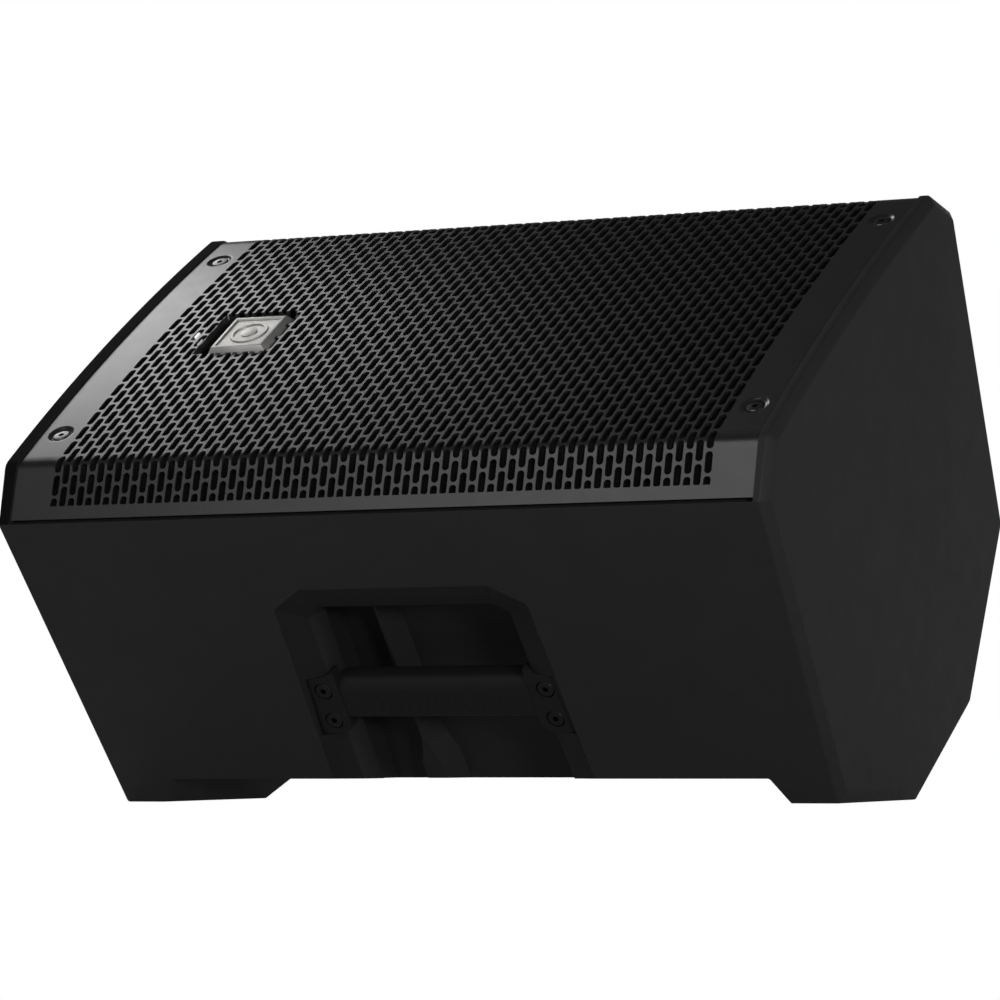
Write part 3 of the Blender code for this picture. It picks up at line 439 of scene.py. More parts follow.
def moulded(colour, roughness, grain=900.0, height=0.00003, specular=0.35):
    """Moulded plastic: fine pebbled grain, slight mottling and uneven sheen."""
    return dict(colour=colour, roughness=roughness, specular=specular,
                tint=((noise, 26.0, 5.0), shade(colour, 0.93), shade(colour, 1.07)),
                sheen=((noise, 60.0, 4.0), roughness - 0.02, roughness + 0.03),
                bumps=[((cells, grain), height), ((noise, grain * 1.7, 2.0), height * 0.7)])


def coated(colour, roughness):
    """Powder coat on steel: fine orange peel with small sheen changes."""
    return dict(colour=colour, roughness=roughness,
                tint=((noise, 30.0, 4.0), shade(colour, 0.94), shade(colour, 1.06)),
                sheen=((noise, 90.0, 3.0), roughness - 0.01, roughness + 0.015),
                bumps=[((noise, 700.0, 2.0), 0.00002), ((noise, 2400.0, 2.0), 0.000008)])


def metal(colour, roughness, stretch=(1.0, 1.0, 1.0), height=0.00001):
    """Bare or plated metal, brushed along the direction that is stretched least."""
    brushing = (noise, 900.0, 3.0, 0.6, stretch)
    return dict(colour=colour, roughness=roughness, metallic=1.0, bumps=[(brushing, height)],
                tint=((noise, 40.0, 5.0), shade(colour, 0.8), shade(colour, 1.15)),
                sheen=(brushing, roughness - 0.08, roughness + 0.1))


PORES = (cells, 1300.0)
FIBRES = (noise, 500.0, 8.0, 0.7)
THREADS = [(waves, 400.0, "X", 1.5), (waves, 400.0, "Y", 1.5)]
TURNS = (waves, 600.0, "Z")
TRACKS = (cells, 260.0, "DISTANCE_TO_EDGE")
SMEARS = (noise, 120.0, 5.0)
RECIPES = {
    "shell": moulded((0.0135, 0.0135, 0.0138), 0.62, specular=0.25),
    "handle": moulded((0.0082, 0.0082, 0.0084), 0.6, 1400.0, 0.000015, 0.17),
    # a much darker copy of the shell's plastic for the top of the rim at the badge end: painted shade
    "rim": moulded((0.0045, 0.0045, 0.0046), 0.8, specular=0.05),
    # a darker copy of the shell's plastic for the pocket's bevelled border: painted shade in the recess
    "shaded": moulded((0.0080, 0.0080, 0.0082), 0.66, specular=0.2),
    "baffle": moulded((0.010, 0.010, 0.011), 0.7),
    "grille": coated((0.010, 0.010, 0.0104), 0.30),
    # open-cell foam: pores painted darker than the lighter struts, painted shade in their holes
    "foam": dict(colour=(0.004, 0.004, 0.004), roughness=1.0, specular=0.1, bumps=[(PORES, 0.0004)],
                 tint=(PORES, (0.0015, 0.0015, 0.0015), (0.006, 0.006, 0.006), 0.1, 0.7)),
    "screw": metal((0.032, 0.032, 0.032), 0.36),
    # a lighter copy of the black screw metal, used on the grille screws: painted reflection
    "screw_painted_reflection": metal((0.085, 0.085, 0.086), 0.30),
    "badge": metal((0.52, 0.515, 0.50), 0.48, (1.0, 8.0, 1.0), 0.00002),
    # lit end of the light pipe
    "lamp": dict(colour=(0.9, 0.95, 1.0), roughness=0.3, glow=((0.95, 0.98, 1.0, 1.0), 0.4),
                 tint=((noise, 300.0, 2.0), (0.85, 0.9, 0.95), (1.0, 1.0, 1.0))),
    # matte rubber with a little dust in its grain
    "rubber": dict(colour=(0.013, 0.013, 0.013), roughness=0.85, specular=0.3,
                   tint=((noise, 220.0, 6.0), (0.010, 0.010, 0.010), (0.024, 0.023, 0.022), 0.45, 0.85),
                   bumps=[((noise, 1500.0, 3.0), 0.00004)]),
    "plated": metal((0.38, 0.39, 0.40), 0.4),
    "cup": coated((0.02, 0.02, 0.021), 0.45),
    "ferrite": moulded((0.03, 0.03, 0.033), 0.6, 500.0, 0.00006, 0.5),
    # coated paper of the cone
    "paper": dict(colour=(0.02, 0.02, 0.02), roughness=0.8, specular=0.3, bumps=[(FIBRES, 0.0001)],
                  tint=(FIBRES, (0.012, 0.012, 0.012), (0.032, 0.031, 0.030))),
    # enamelled copper, wound in fine turns
    "winding": dict(colour=(0.45, 0.2, 0.09), roughness=0.35, metallic=0.9, bumps=[(TURNS, 0.0001)],
                    tint=(TURNS, (0.25, 0.10, 0.04), (0.55, 0.27, 0.12), 0.2, 0.9)),
    # impregnated cloth of the spider: crossed threads
    "cloth": dict(colour=(0.5, 0.36, 0.14), roughness=0.9, bumps=[(thread, 0.0001) for thread in THREADS],
                  tint=(THREADS[0], (0.38, 0.26, 0.09), (0.56, 0.41, 0.17), 0.1, 0.9)),
    "panel": coated((0.016, 0.016, 0.017), 0.4),
    "socket": moulded((0.012, 0.012, 0.013), 0.42, 1600.0, 0.00001, 0.5),
    "control": moulded((0.014, 0.014, 0.015), 0.5, 1500.0, 0.000012, 0.45),
    # solder mask with faint tracks below it
    "board": dict(colour=(0.01, 0.06, 0.03), roughness=0.35, bumps=[(TRACKS, 0.00005)],
                  tint=(TRACKS, (0.012, 0.11, 0.05), (0.006, 0.05, 0.024), 0.05, 0.12)),
    "aluminium": metal((0.58, 0.58, 0.60), 0.38, (1.0, 12.0, 1.0)),
    # dark window of the display, with a faint glass sheen
    "screen": dict(colour=(0.006, 0.009, 0.012), roughness=0.08, sheen=(SMEARS, 0.05, 0.16),
                   tint=(SMEARS, (0.004, 0.006, 0.009), (0.009, 0.013, 0.018))),
    "contact": metal((0.62, 0.56, 0.42), 0.25),
    "marking": coated((0.5, 0.5, 0.5), 0.5),
}
LOOKS = {name: new_look(name + "_look", **recipe) for name, recipe in RECIPES.items()}


# ---- the cabinet's section ----
def bow(across):
    """Height of the convex front above the baffle corners."""
    return BOW * (1 - (across / LIP_HALF) ** 2)


def front_line(steps=32):
    """The convex front from the near lip to the far one."""
    across = [LIP_HALF * (2 * step / steps - 1) for step in range(steps + 1)]
    return [(y, bow(y)) for y in across]


def rear_corners():
    """The six straight corners, clockwise from the near end of the widest line."""
    return [(-SIDE_HALF, -SIDE_DEPTH), (SIDE_HALF, -SIDE_DEPTH), (TAPER_HALF, -TAPER_DEPTH),
            (BACK_HALF, -BACK_DEPTH), (-BACK_HALF, -BACK_DEPTH), (-TAPER_HALF, -TAPER_DEPTH)]


def front_section():
    """The front from one widest line to the other, with its two corners rounded."""
    corners = rear_corners()
    line = corners[:1] + front_line() + corners[1:2]
    radii = [0.0, CORNER_ROUND] + [0.0] * (len(line) - 4) + [CORNER_ROUND, 0.0]
    return rounded(line, radii, closed=False)


def along_length():
    """Turns an outline drawn across and out of the baffle so that it is extruded along X."""
    return Matrix(((0, 0, 1, 0), (1, 0, 0, 0), (0, 1, 0, 0), (0, 0, 0, 1)))


def lean_ends(shape):
    """Give the two ends their draft, more of it further back."""
    for vertex in shape.verts:
        vertex.co.x += math.copysign(1.0, vertex.co.x) * DRAFT * vertex.co.z


# ---- enclosure ----
def cabinet_block():
    """The outside of the cabinet, with chamfered and slightly rounded ends."""
    half = LENGTH / 2
    outline = front_section() + rear_corners()[2:]
    shape = prism_shape(outline, BADGE_CHAMFER[0] - half, half - PLAIN_CHAMFER[0], along_length())
    for side, (depth, width) in ((-1, BADGE_CHAMFER), (1, PLAIN_CHAMFER)):
        ends = [face for face in shape.faces if side * face.normal.x > 0.9]
        bmesh.ops.inset_region(shape, faces=ends, thickness=width, depth=depth, use_even_offset=True)
    sharp = [edge for edge in shape.edges if edge.calc_face_angle(0.0) > math.radians(18)]
    bmesh.ops.bevel(shape, geom=sharp, offset=EDGE_ROUND, segments=3, profile=0.5, affect="EDGES",
                    clamp_overlap=True)
    lean_ends(shape)
    return solid("cabinet_shell", shape, SPEAKER)


def foot_cutter():
    """Raises the underside between the two moulded feet."""
    reach = 0.004
    spread = FOOT_FLOOR_HALF - FOOT_TOP_HALF
    low = FOOT_FLOOR_HALF + spread * reach / FOOT_HEIGHT
    soft = 0.002
    points = rounded([(-low - FOOT_SHORTER, -reach), (-FOOT_TOP_HALF - FOOT_SHORTER, FOOT_HEIGHT),
                      (FOOT_TOP_HALF, FOOT_HEIGHT), (low, -reach)], [0.0, soft, soft, 0.0])
    stand = Matrix.Translation((0.0, -TAPER_HALF, -TAPER_DEPTH))
    tilt = SPEAKER.to_euler().x
    stand = stand @ Matrix.Rotation(-tilt, 4, "X") @ Matrix.Rotation(math.radians(90), 4, "X")
    return solid("foot_cutter", prism_shape(points, -0.2, 0.2, stand), SPEAKER)


def seat_cutter():
    """Clears the front and both lips for the grille."""
    depth = GRILLE_SINK + GRILLE_THICK + GAP
    line = rear_corners()[:1] + front_line(16) + rear_corners()[1:2]
    floor = inset(line, [depth] * (len(line) - 1) + [0.0])
    soft = CORNER_ROUND - depth
    radii = [0.0, soft] + [0.0] * (len(floor) - 4) + [soft, 0.0]
    floor = rounded(floor, radii, closed=False)
    clear = SIDE_HALF + 0.03
    above = 0.03
    points = [(-clear, -SIDE_DEPTH)] + floor + [(clear, -SIDE_DEPTH), (clear, above), (-clear, above)]
    half = GRILLE_HALF + GAP
    shape = prism_shape(points, -half, half, along_length())
    return solid("seat_cutter", shape, SPEAKER)


def pocket_outline(shrink, soft):
    """The pocket's outline made smaller all round but at its foot, its corners rounded."""
    half = [(POCKET_FOOT_HALF, POCKET_FOOT), (POCKET_SHOULDER_HALF, POCKET_SHOULDER),
            (POCKET_TOP_HALF, POCKET_TOP)]
    points = half + [(-x, y) for x, y in reversed(half)]
    smaller = inset(points, [shrink] * 5 + [0.0])
    return rounded(smaller, [0.0, soft, soft, soft, soft, 0.0], steps=4)


def lofted_shape(rings):
    """A solid through outlines at different heights, each with the same number of points."""
    shape = bmesh.new()
    loops = [[shape.verts.new((x, y, height)) for x, y in outline] for outline, height in rings]
    for lower, upper in zip(loops, loops[1:]):
        join_rings(shape, lower, upper, len(lower))
    shape.faces.new(loops[0])
    shape.faces.new(loops[-1])
    return shape


def pocket_block():
    """The plastic that surrounds the pocket."""
    deep = POCKET_DEPTH + POCKET_WALL
    shape = prism_shape(pocket_outline(-POCKET_WALL / 2, 0.004), -0.05, deep)
    return solid("pocket_block", shape, SIDE)


def cavity_cutter():
    """The inside of the cabinet, kept clear of the handle pocket and the panel's tray."""
    points = inset(rear_corners(), [WALL, WALL, WALL, WALL, WALL + FOOT_HEIGHT, WALL])
    half = LENGTH / 2 - END_WALL
    shape = prism_shape(points, -half, half, along_length())
    lean_ends(shape)
    cavity = solid("cavity_cutter", shape, SPEAKER)
    tray_size = (2 * (PANEL_HALF[0] + POCKET_WALL), 2 * (PANEL_HALF[1] + POCKET_WALL), 0.05)
    tray_top = PANEL_THICK + GAP + POCKET_WALL
    tray = solid("tray_block", box_shape(tray_size, (0, 0, 0.025 - tray_top)), REAR)
    return carved(cavity, [pocket_block(), tray])


def pocket_cutter():
    """The pocket: a bevelled border, a drafted edge, hollow walls behind it and one upright rib."""
    edge = 0.0006
    waist = POCKET_BORDER + 0.0045
    hollow = POCKET_BORDER - 0.0010
    steps = [(-edge, -0.02, 0.004), (-edge, -0.0001, 0.004), (0.0, edge, 0.004),
             (POCKET_BORDER - edge, POCKET_BEVEL, 0.0035), (POCKET_BORDER, POCKET_BEVEL + edge, 0.0032),
             (waist, 0.0165, 0.003), (waist, 0.0172, 0.003), (hollow, 0.0180, 0.003),
             (hollow, POCKET_DEPTH, 0.003)]
    shape = lofted_shape([(pocket_outline(shrink, soft), depth) for shrink, depth, soft in steps])
    cutter = solid("pocket_cutter", shape, SIDE)
    return carved(cutter, [rib_block()])


def rib_block():
    """What stays of the plastic at the back of the pocket: a rib with one sloping flank, splayed below."""
    rows = [(0.030, 0.0), (0.168, 0.0), (0.176, 0.0016), (0.186, 0.0050), (0.300, 0.0060)]
    back = POCKET_DEPTH + 0.010
    slope = (RIB_FOOT - RIB_RIDGE[1]) / (POCKET_DEPTH - RIB_FRONT)
    shape = bmesh.new()
    rings = []
    for down, splay in rows:
        section = [(RIB_RIDGE[0] - splay, RIB_FRONT), (RIB_RIDGE[1] + splay, RIB_FRONT),
                   (RIB_RIDGE[1] + splay + slope * (back - RIB_FRONT), back), (RIB_RIDGE[0] - splay, back)]
        rings.append([shape.verts.new((x, down, deep)) for x, deep in section])
    for lower, upper in zip(rings, rings[1:]):
        join_rings(shape, lower, upper, len(lower))
    shape.faces.new(rings[0])
    shape.faces.new(rings[-1])
    return solid("rib_block", shape, SIDE)


def plate_outline(side, grow=0.0):
    """Outline of one end plate: straight at the pocket's edge, cut back towards the bar."""
    inner = PLATE_INNER - grow
    outer = PLATE_OUTER + grow + 0.003
    top = PLATE_MIDDLE - PLATE_HALF - grow
    foot = PLATE_MIDDLE + PLATE_HALF + grow
    slant = 0.004
    points = [(inner, top - slant), (inner + 0.007, top), (outer - 0.0028, top), (outer, foot),
              (inner + 0.007, foot), (inner, foot - slant)]
    return [(side * x, y) for x, y in points]


def plate_seat_cutter(side):
    """Seat of one end plate of the handle bar."""
    shape = prism_shape(plate_outline(side, GAP), -0.01, PLATE_BACK + GAP)
    return solid("plate_seat", shape, SIDE)


def lip_channel(side):
    """Clears the plastic behind one lip's slots, so that they look into the dark."""
    points = [(side * 0.1170, 0.0040), (side * 0.1300, 0.0015), (side * 0.1520, -0.0205),
              (side * 0.1490, -0.0245), (side * 0.1170, -0.0245)]
    shape = prism_shape(points, -0.1985, 0.1985, along_length())
    return solid("lip_channel", shape, SPEAKER)


def lip_groove(side):
    """The open groove between one lip's edge and the cabinet's side."""
    run = (SIDE_HALF - LIP_HALF, -SIDE_DEPTH)
    length = math.hypot(*run)
    along = (run[0] / length, run[1] / length)
    inwards = (along[1], -along[0])
    corners = [(0.0034, -0.004), (0.0004, -0.004), (0.0004, 0.0058), (0.0034, 0.0058)]
    points = []
    for back, deep in corners:
        across = SIDE_HALF - along[0] * back + inwards[0] * deep
        points.append((side * across, -SIDE_DEPTH - along[1] * back + inwards[1] * deep))
    half = GRILLE_HALF + GAP
    return solid("lip_groove", prism_shape(points, -half, half, along_length()), SPEAKER)


def drills(name, radius, places, low, high, axes, sides=32):
    """One cutter for a set of round holes."""
    shape = bmesh.new()
    for across, up in places:
        place = Matrix.Translation((across, up, (low + high) / 2))
        bmesh.ops.create_cone(shape, cap_ends=True, segments=sides, radius1=radius, radius2=radius,
                              depth=high - low, matrix=place)
    return solid(name, shape, axes)


def block_cutter(name, size, centre, axes, round_by=0.0):
    """A box-shaped cutter."""
    return solid(name, box_shape(size, centre, round_by), axes)


def grille_screw_places():
    """The grille's four screws."""
    return [(x, y) for x in (-SCREW_X, SCREW_X) for y in (-SCREW_Y, SCREW_Y)]


def handle_screw_places():
    """The handle bar's four screws, two at each end."""
    steps = (-HANDLE_SCREW_STEP, HANDLE_SCREW_STEP)
    return [(x, PLATE_MIDDLE + step) for x in (-HANDLE_SCREW_X, HANDLE_SCREW_X) for step in steps]


def panel_screw_places():
    """The panel's four corner screws."""
    return [(x, y) for x in (-PANEL_SCREW[0], PANEL_SCREW[0]) for y in (-PANEL_SCREW[1], PANEL_SCREW[1])]


def make_shell():
    """The moulded cabinet with its walls, feet, handle pocket and panel tray."""
    shell = cabinet_block()
    opening_low = -0.0263
    opening_half = (0.198, 0.118)
    ledge = 0.0045
    cutters = [
        foot_cutter(),
        seat_cutter(),
        block_cutter("front_opening", (2 * opening_half[0], 2 * opening_half[1], 0.06),
                     (0, 0, opening_low + 0.03), SPEAKER),
        lip_groove(-1),
        lip_groove(1),
        lip_channel(-1),
        lip_channel(1),
        cavity_cutter(),
        block_cutter("neck", (2 * opening_half[0] - 0.0146, 2 * opening_half[1] - 0.0146, 0.012),
                     (0, 0, opening_low), SPEAKER),
        pocket_cutter(),
        plate_seat_cutter(-1),
        plate_seat_cutter(1),
        block_cutter("panel_seat", (2 * (PANEL_HALF[0] + GAP), 2 * (PANEL_HALF[1] + GAP), 0.05),
                     (0, 0, 0.025 - PANEL_THICK - GAP), REAR, 0.001),
        block_cutter("panel_window", (2 * (PANEL_HALF[0] - 2 * ledge), 2 * (PANEL_HALF[1] - ledge), 0.03),
                     (0, 0, 0), REAR),
        drills("screw_holes", SHANK_HOLE, grille_screw_places(), -0.0135, 0.01, SPEAKER),
        drills("handle_holes", SHANK_HOLE, handle_screw_places(), 0.0, 0.0225, SIDE),
        drills("panel_holes", 0.0018, panel_screw_places(), -0.0075, 0.01, REAR),
        drills("pole_hole", POLE_RADIUS + 0.004, [(POLE_CENTRE, 0.0)], -0.02, 0.01, END, 64),
        drills("pole_seat", POLE_RIM + GAP, [(POLE_CENTRE, 0.0)], -0.0023, 0.01, END, 64),
        drills("pad_seats", PAD_RADIUS + GAP, PAD_PLACES, -0.0015, 0.01, END, 40),
    ]
    carved(shell, cutters)
    return shaded_faces(dressed(shell, "cabinet", LOOKS["shell"], ["enclosure_shell"]))


def shaded_faces(shell):
    """Painted shade on the pocket's bevelled border and on the rim at the badge end: darker copies of the
    shell's plastic.
    """
    shell.data.materials.append(LOOKS["shaded"])
    shell.data.materials.append(LOOKS["rim"])
    to_side = SIDE.inverted()
    to_speaker = SPEAKER.inverted()
    turn = to_speaker.to_3x3()
    for face in shell.data.polygons:
        across, down, deep = to_side @ face.center
        in_pocket = abs(across) < POCKET_FOOT_HALF and down > POCKET_TOP
        # the pocket's border takes the darker copy of the plastic: painted shade
        shade_painted_on_border = in_pocket and 0.0002 < deep < POCKET_BEVEL + 0.0005
        # the top-facing rim at the badge end takes the much darker copy: painted shade
        shade_painted_on_rim = (to_speaker @ face.center).x < -GRILLE_HALF and (turn @ face.normal).z > 0.3
        face.material_index = 2 if shade_painted_on_rim else int(shade_painted_on_border)
    return shell


# ---- grille ----
class Section:
    """The grille's outer line across the cabinet, with places found by length along it."""

    def __init__(self):
        run = SIDE_HALF - LIP_HALF
        keep = 1 - LIP_SHORT / math.hypot(run, SIDE_DEPTH)
        edge = (LIP_HALF + run * keep, -SIDE_DEPTH * keep)
        line = [(-edge[0], edge[1])] + front_line() + [edge]
        radii = [0.0, CORNER_ROUND] + [0.0] * (len(line) - 4) + [CORNER_ROUND, 0.0]
        self.points = np.array(rounded(line, radii, closed=False, steps=10))
        steps = np.diff(self.points, axis=0)
        lengths = np.hypot(steps[:, 0], steps[:, 1])
        self.along = np.concatenate([[0.0], np.cumsum(lengths)])
        tangents = steps / lengths[:, None]
        self.tangents = np.vstack([tangents[:1], (tangents[1:] + tangents[:-1]) / 2, tangents[-1:]])
        self.lip = math.hypot(run, SIDE_DEPTH) * keep
        self.front = self.along[-1] - 2 * self.lip
        self.near_edge = -self.lip / LIP_SQUEEZE
        self.far_edge = self.front + self.lip / LIP_SQUEEZE

    def place(self, flat, depth):
        """Point across the cabinet for a flat place, counted from the near bend, and a depth."""
        length = np.interp(flat, [self.near_edge, 0.0, self.front, self.far_edge],
                           [0.0, self.lip, self.lip + self.front, self.along[-1]])
        y = np.interp(length, self.along, self.points[:, 0])
        z = np.interp(length, self.along, self.points[:, 1])
        ty = np.interp(length, self.along, self.tangents[:, 0])
        tz = np.interp(length, self.along, self.tangents[:, 1])
        size = math.hypot(ty, tz)
        return y - tz / size * depth, z + ty / size * depth

    def flat_of(self, across):
        """Flat place of a point on the front, from where it is across the baffle."""
        return float(np.interp(across, self.points[:, 0], self.along)) - self.lip


SECTION = Section()


def quarter_lines():
    """The flat places where cell corners meet, from one grille edge to the other."""
    low_cut = SECTION.near_edge + LIP_BORDER / LIP_SQUEEZE
    high_cut = SECTION.far_edge - LIP_BORDER / LIP_SQUEEZE
    first = FIRST_ROW - ROW_PITCH / 2
    low = math.floor((low_cut - first) / (ROW_PITCH / 4))
    high = math.ceil((high_cut - first) / (ROW_PITCH / 4))
    return low_cut, high_cut, first, low, high


LOW_CUT, HIGH_CUT, FIRST_LINE, LOW_LINE, HIGH_LINE = quarter_lines()


def line_place(line):
    """Flat place of one quarter line; the last ones lie on the grille's edges."""
    if line <= LOW_LINE:
        return SECTION.near_edge
    if line >= HIGH_LINE:
        return SECTION.far_edge
    return FIRST_LINE + line * ROW_PITCH / 4


def slot_cell(shape, column, start):
    """One cell of the grille, four quarter lines tall, with its slot."""
    middle_x = (column - (COLUMNS - 1) / 2) * COLUMN_PITCH
    middle = FIRST_LINE + (start + 2) * ROW_PITCH / 4
    straight = (SLOT_LENGTH - SLOT_WIDTH) / 2
    outer = []
    inner = []
    for side in (1, -1):
        for quarter in range(5):
            line = start + quarter if side > 0 else start + 4 - quarter
            outer.append((middle_x + side * COLUMN_PITCH / 2, line_place(line)))
            inner.append((middle_x + side * SLOT_WIDTH / 2, middle + side * straight * (quarter / 2 - 1)))
        for step in range(1, SLOT_END_STEPS):
            angle = math.pi * step / SLOT_END_STEPS
            end_line = start + 4 if side > 0 else start
            share = 1 - 2 * step / SLOT_END_STEPS
            outer.append((middle_x + side * share * COLUMN_PITCH / 2, line_place(end_line)))
            inner.append((middle_x + side * math.cos(angle) * SLOT_WIDTH / 2,
                          middle + side * (straight + math.sin(angle) * SLOT_WIDTH / 2)))
    inner = [(x, min(max(y, LOW_CUT), HIGH_CUT)) for x, y in inner]
    tall = max(y for _, y in inner) - min(y for _, y in inner)
    ring = [shape.verts.new((x, y, 0.0)) for x, y in outer]
    if tall < SLOT_WIDTH / 2:
        shape.faces.new(ring)
        return
    hole = [shape.verts.new((x, y, 0.0)) for x, y in inner]
    for index in range(len(ring)):
        after = (index + 1) % len(ring)
        shape.faces.new((ring[index], ring[after], hole[after], hole[index]))


def margin_strip(shape, side):
    """The solid steel beside the slots."""
    inner = (COLUMNS / 2) * COLUMN_PITCH
    steps = 6
    xs = [side * (inner + (GRILLE_HALF - inner) * step / steps) for step in range(steps + 1)]
    lines = [line_place(line) for line in range(LOW_LINE, HIGH_LINE + 1)]
    grid = [[shape.verts.new((x, y, 0.0)) for x in xs] for y in lines]
    for lower, upper in zip(grid, grid[1:]):
        for step in range(steps):
            shape.faces.new((lower[step], lower[step + 1], upper[step + 1], upper[step]))


def near_point(vertex, place, reach):
    """Whether a flat vertex lies within reach of a place."""
    return (vertex.co.xy - Vector(place)).length < reach


def dimple(shape, place):
    """A shallow round dish about one screw, with the screw's hole in the middle."""
    for cuts, reach in ((1, 0.0145), (1, 0.0125), (1, 0.0110)):
        edges = [edge for edge in shape.edges if all(near_point(v, place, reach) for v in edge.verts)]
        bmesh.ops.subdivide_edges(shape, edges=edges, cuts=cuts, use_grid_fill=True)
    gone = [face for face in shape.faces if all(near_point(v, place, SCREW_HOLE) for v in face.verts)]
    bmesh.ops.delete(shape, geom=gone, context="FACES")
    rim = [v for v in shape.verts if v.is_boundary and near_point(v, place, SCREW_HOLE * 1.3)]
    for vertex in rim:
        arm = (vertex.co.xy - Vector(place)).normalized() * SCREW_HOLE
        vertex.co.xy = Vector(place) + arm
    for vertex in shape.verts:
        if near_point(vertex, place, DIMPLE_RADIUS):
            away = (vertex.co.xy - Vector(place)).length
            share = (away - SCREW_HOLE) / (DIMPLE_RADIUS - SCREW_HOLE)
            vertex.co.z = -DIMPLE_DEPTH * 0.5 * (1 + math.cos(math.pi * max(share, 0.0)))


def badge_recess(shape, shift):
    """Press the grille down round the badge, and clear the steel below it."""
    low = (RECESS_X[0], RECESS_Y[0] + shift)
    high = (RECESS_X[1], RECESS_Y[1] + shift)
    reach = 0.004
    for axis in (0, 1):
        for place in (low[axis], low[axis] + RECESS_WALL, high[axis] - RECESS_WALL, high[axis]):
            faces = [face for face in shape.faces
                     if all(low[side] - reach < face.calc_center_median()[side] < high[side] + reach
                            for side in (0, 1))]
            edges = {edge for face in faces for edge in face.edges}
            corners = {vertex for face in faces for vertex in face.verts}
            point = Vector((0.0, 0.0, 0.0))
            point[axis] = place
            normal = Vector((0.0, 0.0, 0.0))
            normal[axis] = 1.0
            bmesh.ops.bisect_plane(shape, geom=[*faces, *edges, *corners], plane_co=point,
                                   plane_no=normal, dist=1e-7)
    for vertex in shape.verts:
        inside = min(min(vertex.co[side] - low[side], high[side] - vertex.co[side]) for side in (0, 1))
        share = min(max(inside / RECESS_WALL, 0.0), 1.0)
        if share > 0.0:
            vertex.co.z = -RECESS_DEPTH * share
    hidden = [face for face in shape.faces
              if all(abs(v.co.x - BADGE_X) < BADGE_FOOT[0] / 2 - 0.0015
                     and abs(v.co.y - BADGE_Y - shift) < BADGE_FOOT[1] / 2 - 0.0015 for v in face.verts)]
    bmesh.ops.delete(shape, geom=hidden, context="FACES")


def make_grille():
    """The perforated grille: drawn flat, pressed, then bent over the front and both lips."""
    shape = bmesh.new()
    for column in range(COLUMNS):
        start = LOW_LINE - 4
        start += (2 * ((column + 1) % 2) - start) % 4
        while start < HIGH_LINE:
            if start + 4 > LOW_LINE:
                slot_cell(shape, column, start)
            start += 4
    margin_strip(shape, -1)
    margin_strip(shape, 1)
    bmesh.ops.remove_doubles(shape, verts=shape.verts, dist=0.000002)
    for x, y in grille_screw_places():
        dimple(shape, (x, SECTION.flat_of(y)))
    badge_recess(shape, SECTION.flat_of(0.0))
    for vertex in shape.verts:
        y, z = SECTION.place(vertex.co.y, -GRILLE_SINK + vertex.co.z)
        vertex.co = (vertex.co.x, y, z)
    cleared(shape)
    bmesh.ops.recalc_face_normals(shape, faces=shape.faces)
    if sum(face.normal.z * face.calc_area() for face in shape.faces) < 0:
        bmesh.ops.reverse_faces(shape, faces=shape.faces)
    mesh = bpy.data.meshes.new("perforated_grille")
    shape.to_mesh(mesh)
    shape.free()
    grille = placed("perforated_grille", mesh, SPEAKER)
    thickened(grille, GRILLE_THICK)
    return dressed(grille, "cabinet", LOOKS["grille"], ["grille"], 40)


def make_foam():
    """The thin foam behind the grille and its two lips, swelling a little between its glue lines."""
    depth = GRILLE_SINK + GRILLE_THICK + 2 * GAP
    columns, rows = 96, 72
    swell = 0.0004
    middle_line = SECTION.flat_of(BADGE_Y)
    shape = bmesh.new()
    grid = []
    for row in range(rows + 1):
        flat = LOW_CUT + (HIGH_CUT - LOW_CUT) * row / rows
        line = []
        for column in range(columns + 1):
            x = FOAM_HALF * (2 * column / columns - 1)
            wave = math.sin(x * 170.0) * math.sin(flat * 190.0)
            nearest = min(abs(flat), abs(flat - SECTION.front))
            bulge = GRILLE_THICK * max(0.0, 1.0 - nearest / 0.008)
            y, z = SECTION.place(flat, bulge - depth - swell * (1 + wave))
            line.append((shape.verts.new((x, y, z)), flat))
        grid.append(line)
    for lower, upper in zip(grid, grid[1:]):
        for column in range(columns):
            corners = (lower[column], lower[column + 1], upper[column + 1], upper[column])
            x = (corners[0][0].co.x + corners[1][0].co.x) / 2
            flat = (corners[0][1] + corners[2][1]) / 2
            by_badge = -0.170 < x < -0.112 and abs(flat - middle_line) < 0.031
            by_light = abs(x - LIGHT_X) < 0.005 and abs(flat - middle_line) < 0.009
            if not (by_badge or by_light):
                shape.faces.new([vertex for vertex, _ in corners])
    cleared(shape)
    foam = solid("foam_sheet", shape, SPEAKER)
    thickened(foam, FOAM_THICK)
    dressed(foam, "cabinet", LOOKS["foam"], ["grille_foam"], 60)
    return foam


# ---- screws ----
def hex_socket(radius, depth):
    """A six-sided cutter for a screw's socket."""
    angles = [math.pi * corner / 3 for corner in range(6)]
    outline = [(radius * math.cos(a), radius * math.sin(a)) for a in angles]
    return prism_shape(outline, -depth, 0.002)


def screw_mesh(name, head, height, shank, length, socket, cone):
    """A socket screw with its head's top at zero: countersunk when cone is set, else low and domed."""
    edge = height * 0.16
    profile = [(0.0, 0.0), (head * 0.72, 0.0), (head - edge, -edge * 0.35), (head, -edge * 1.4)]
    if cone:
        profile = [(0.0, 0.0), (head - edge, 0.0), (head, -edge), (shank, -height)]
    else:
        profile += [(head, -height), (shank, -height)]
    profile += [(shank, -length + shank * 0.3), (shank * 0.7, -length), (0.0, -length)]
    made = solid(name, turned_shape(profile, 32), Matrix.Identity(4))
    carved(made, [solid("socket", hex_socket(socket, height * 0.75), Matrix.Identity(4))])
    mesh = made.data
    bpy.data.objects.remove(made, do_unlink=True)
    return mesh


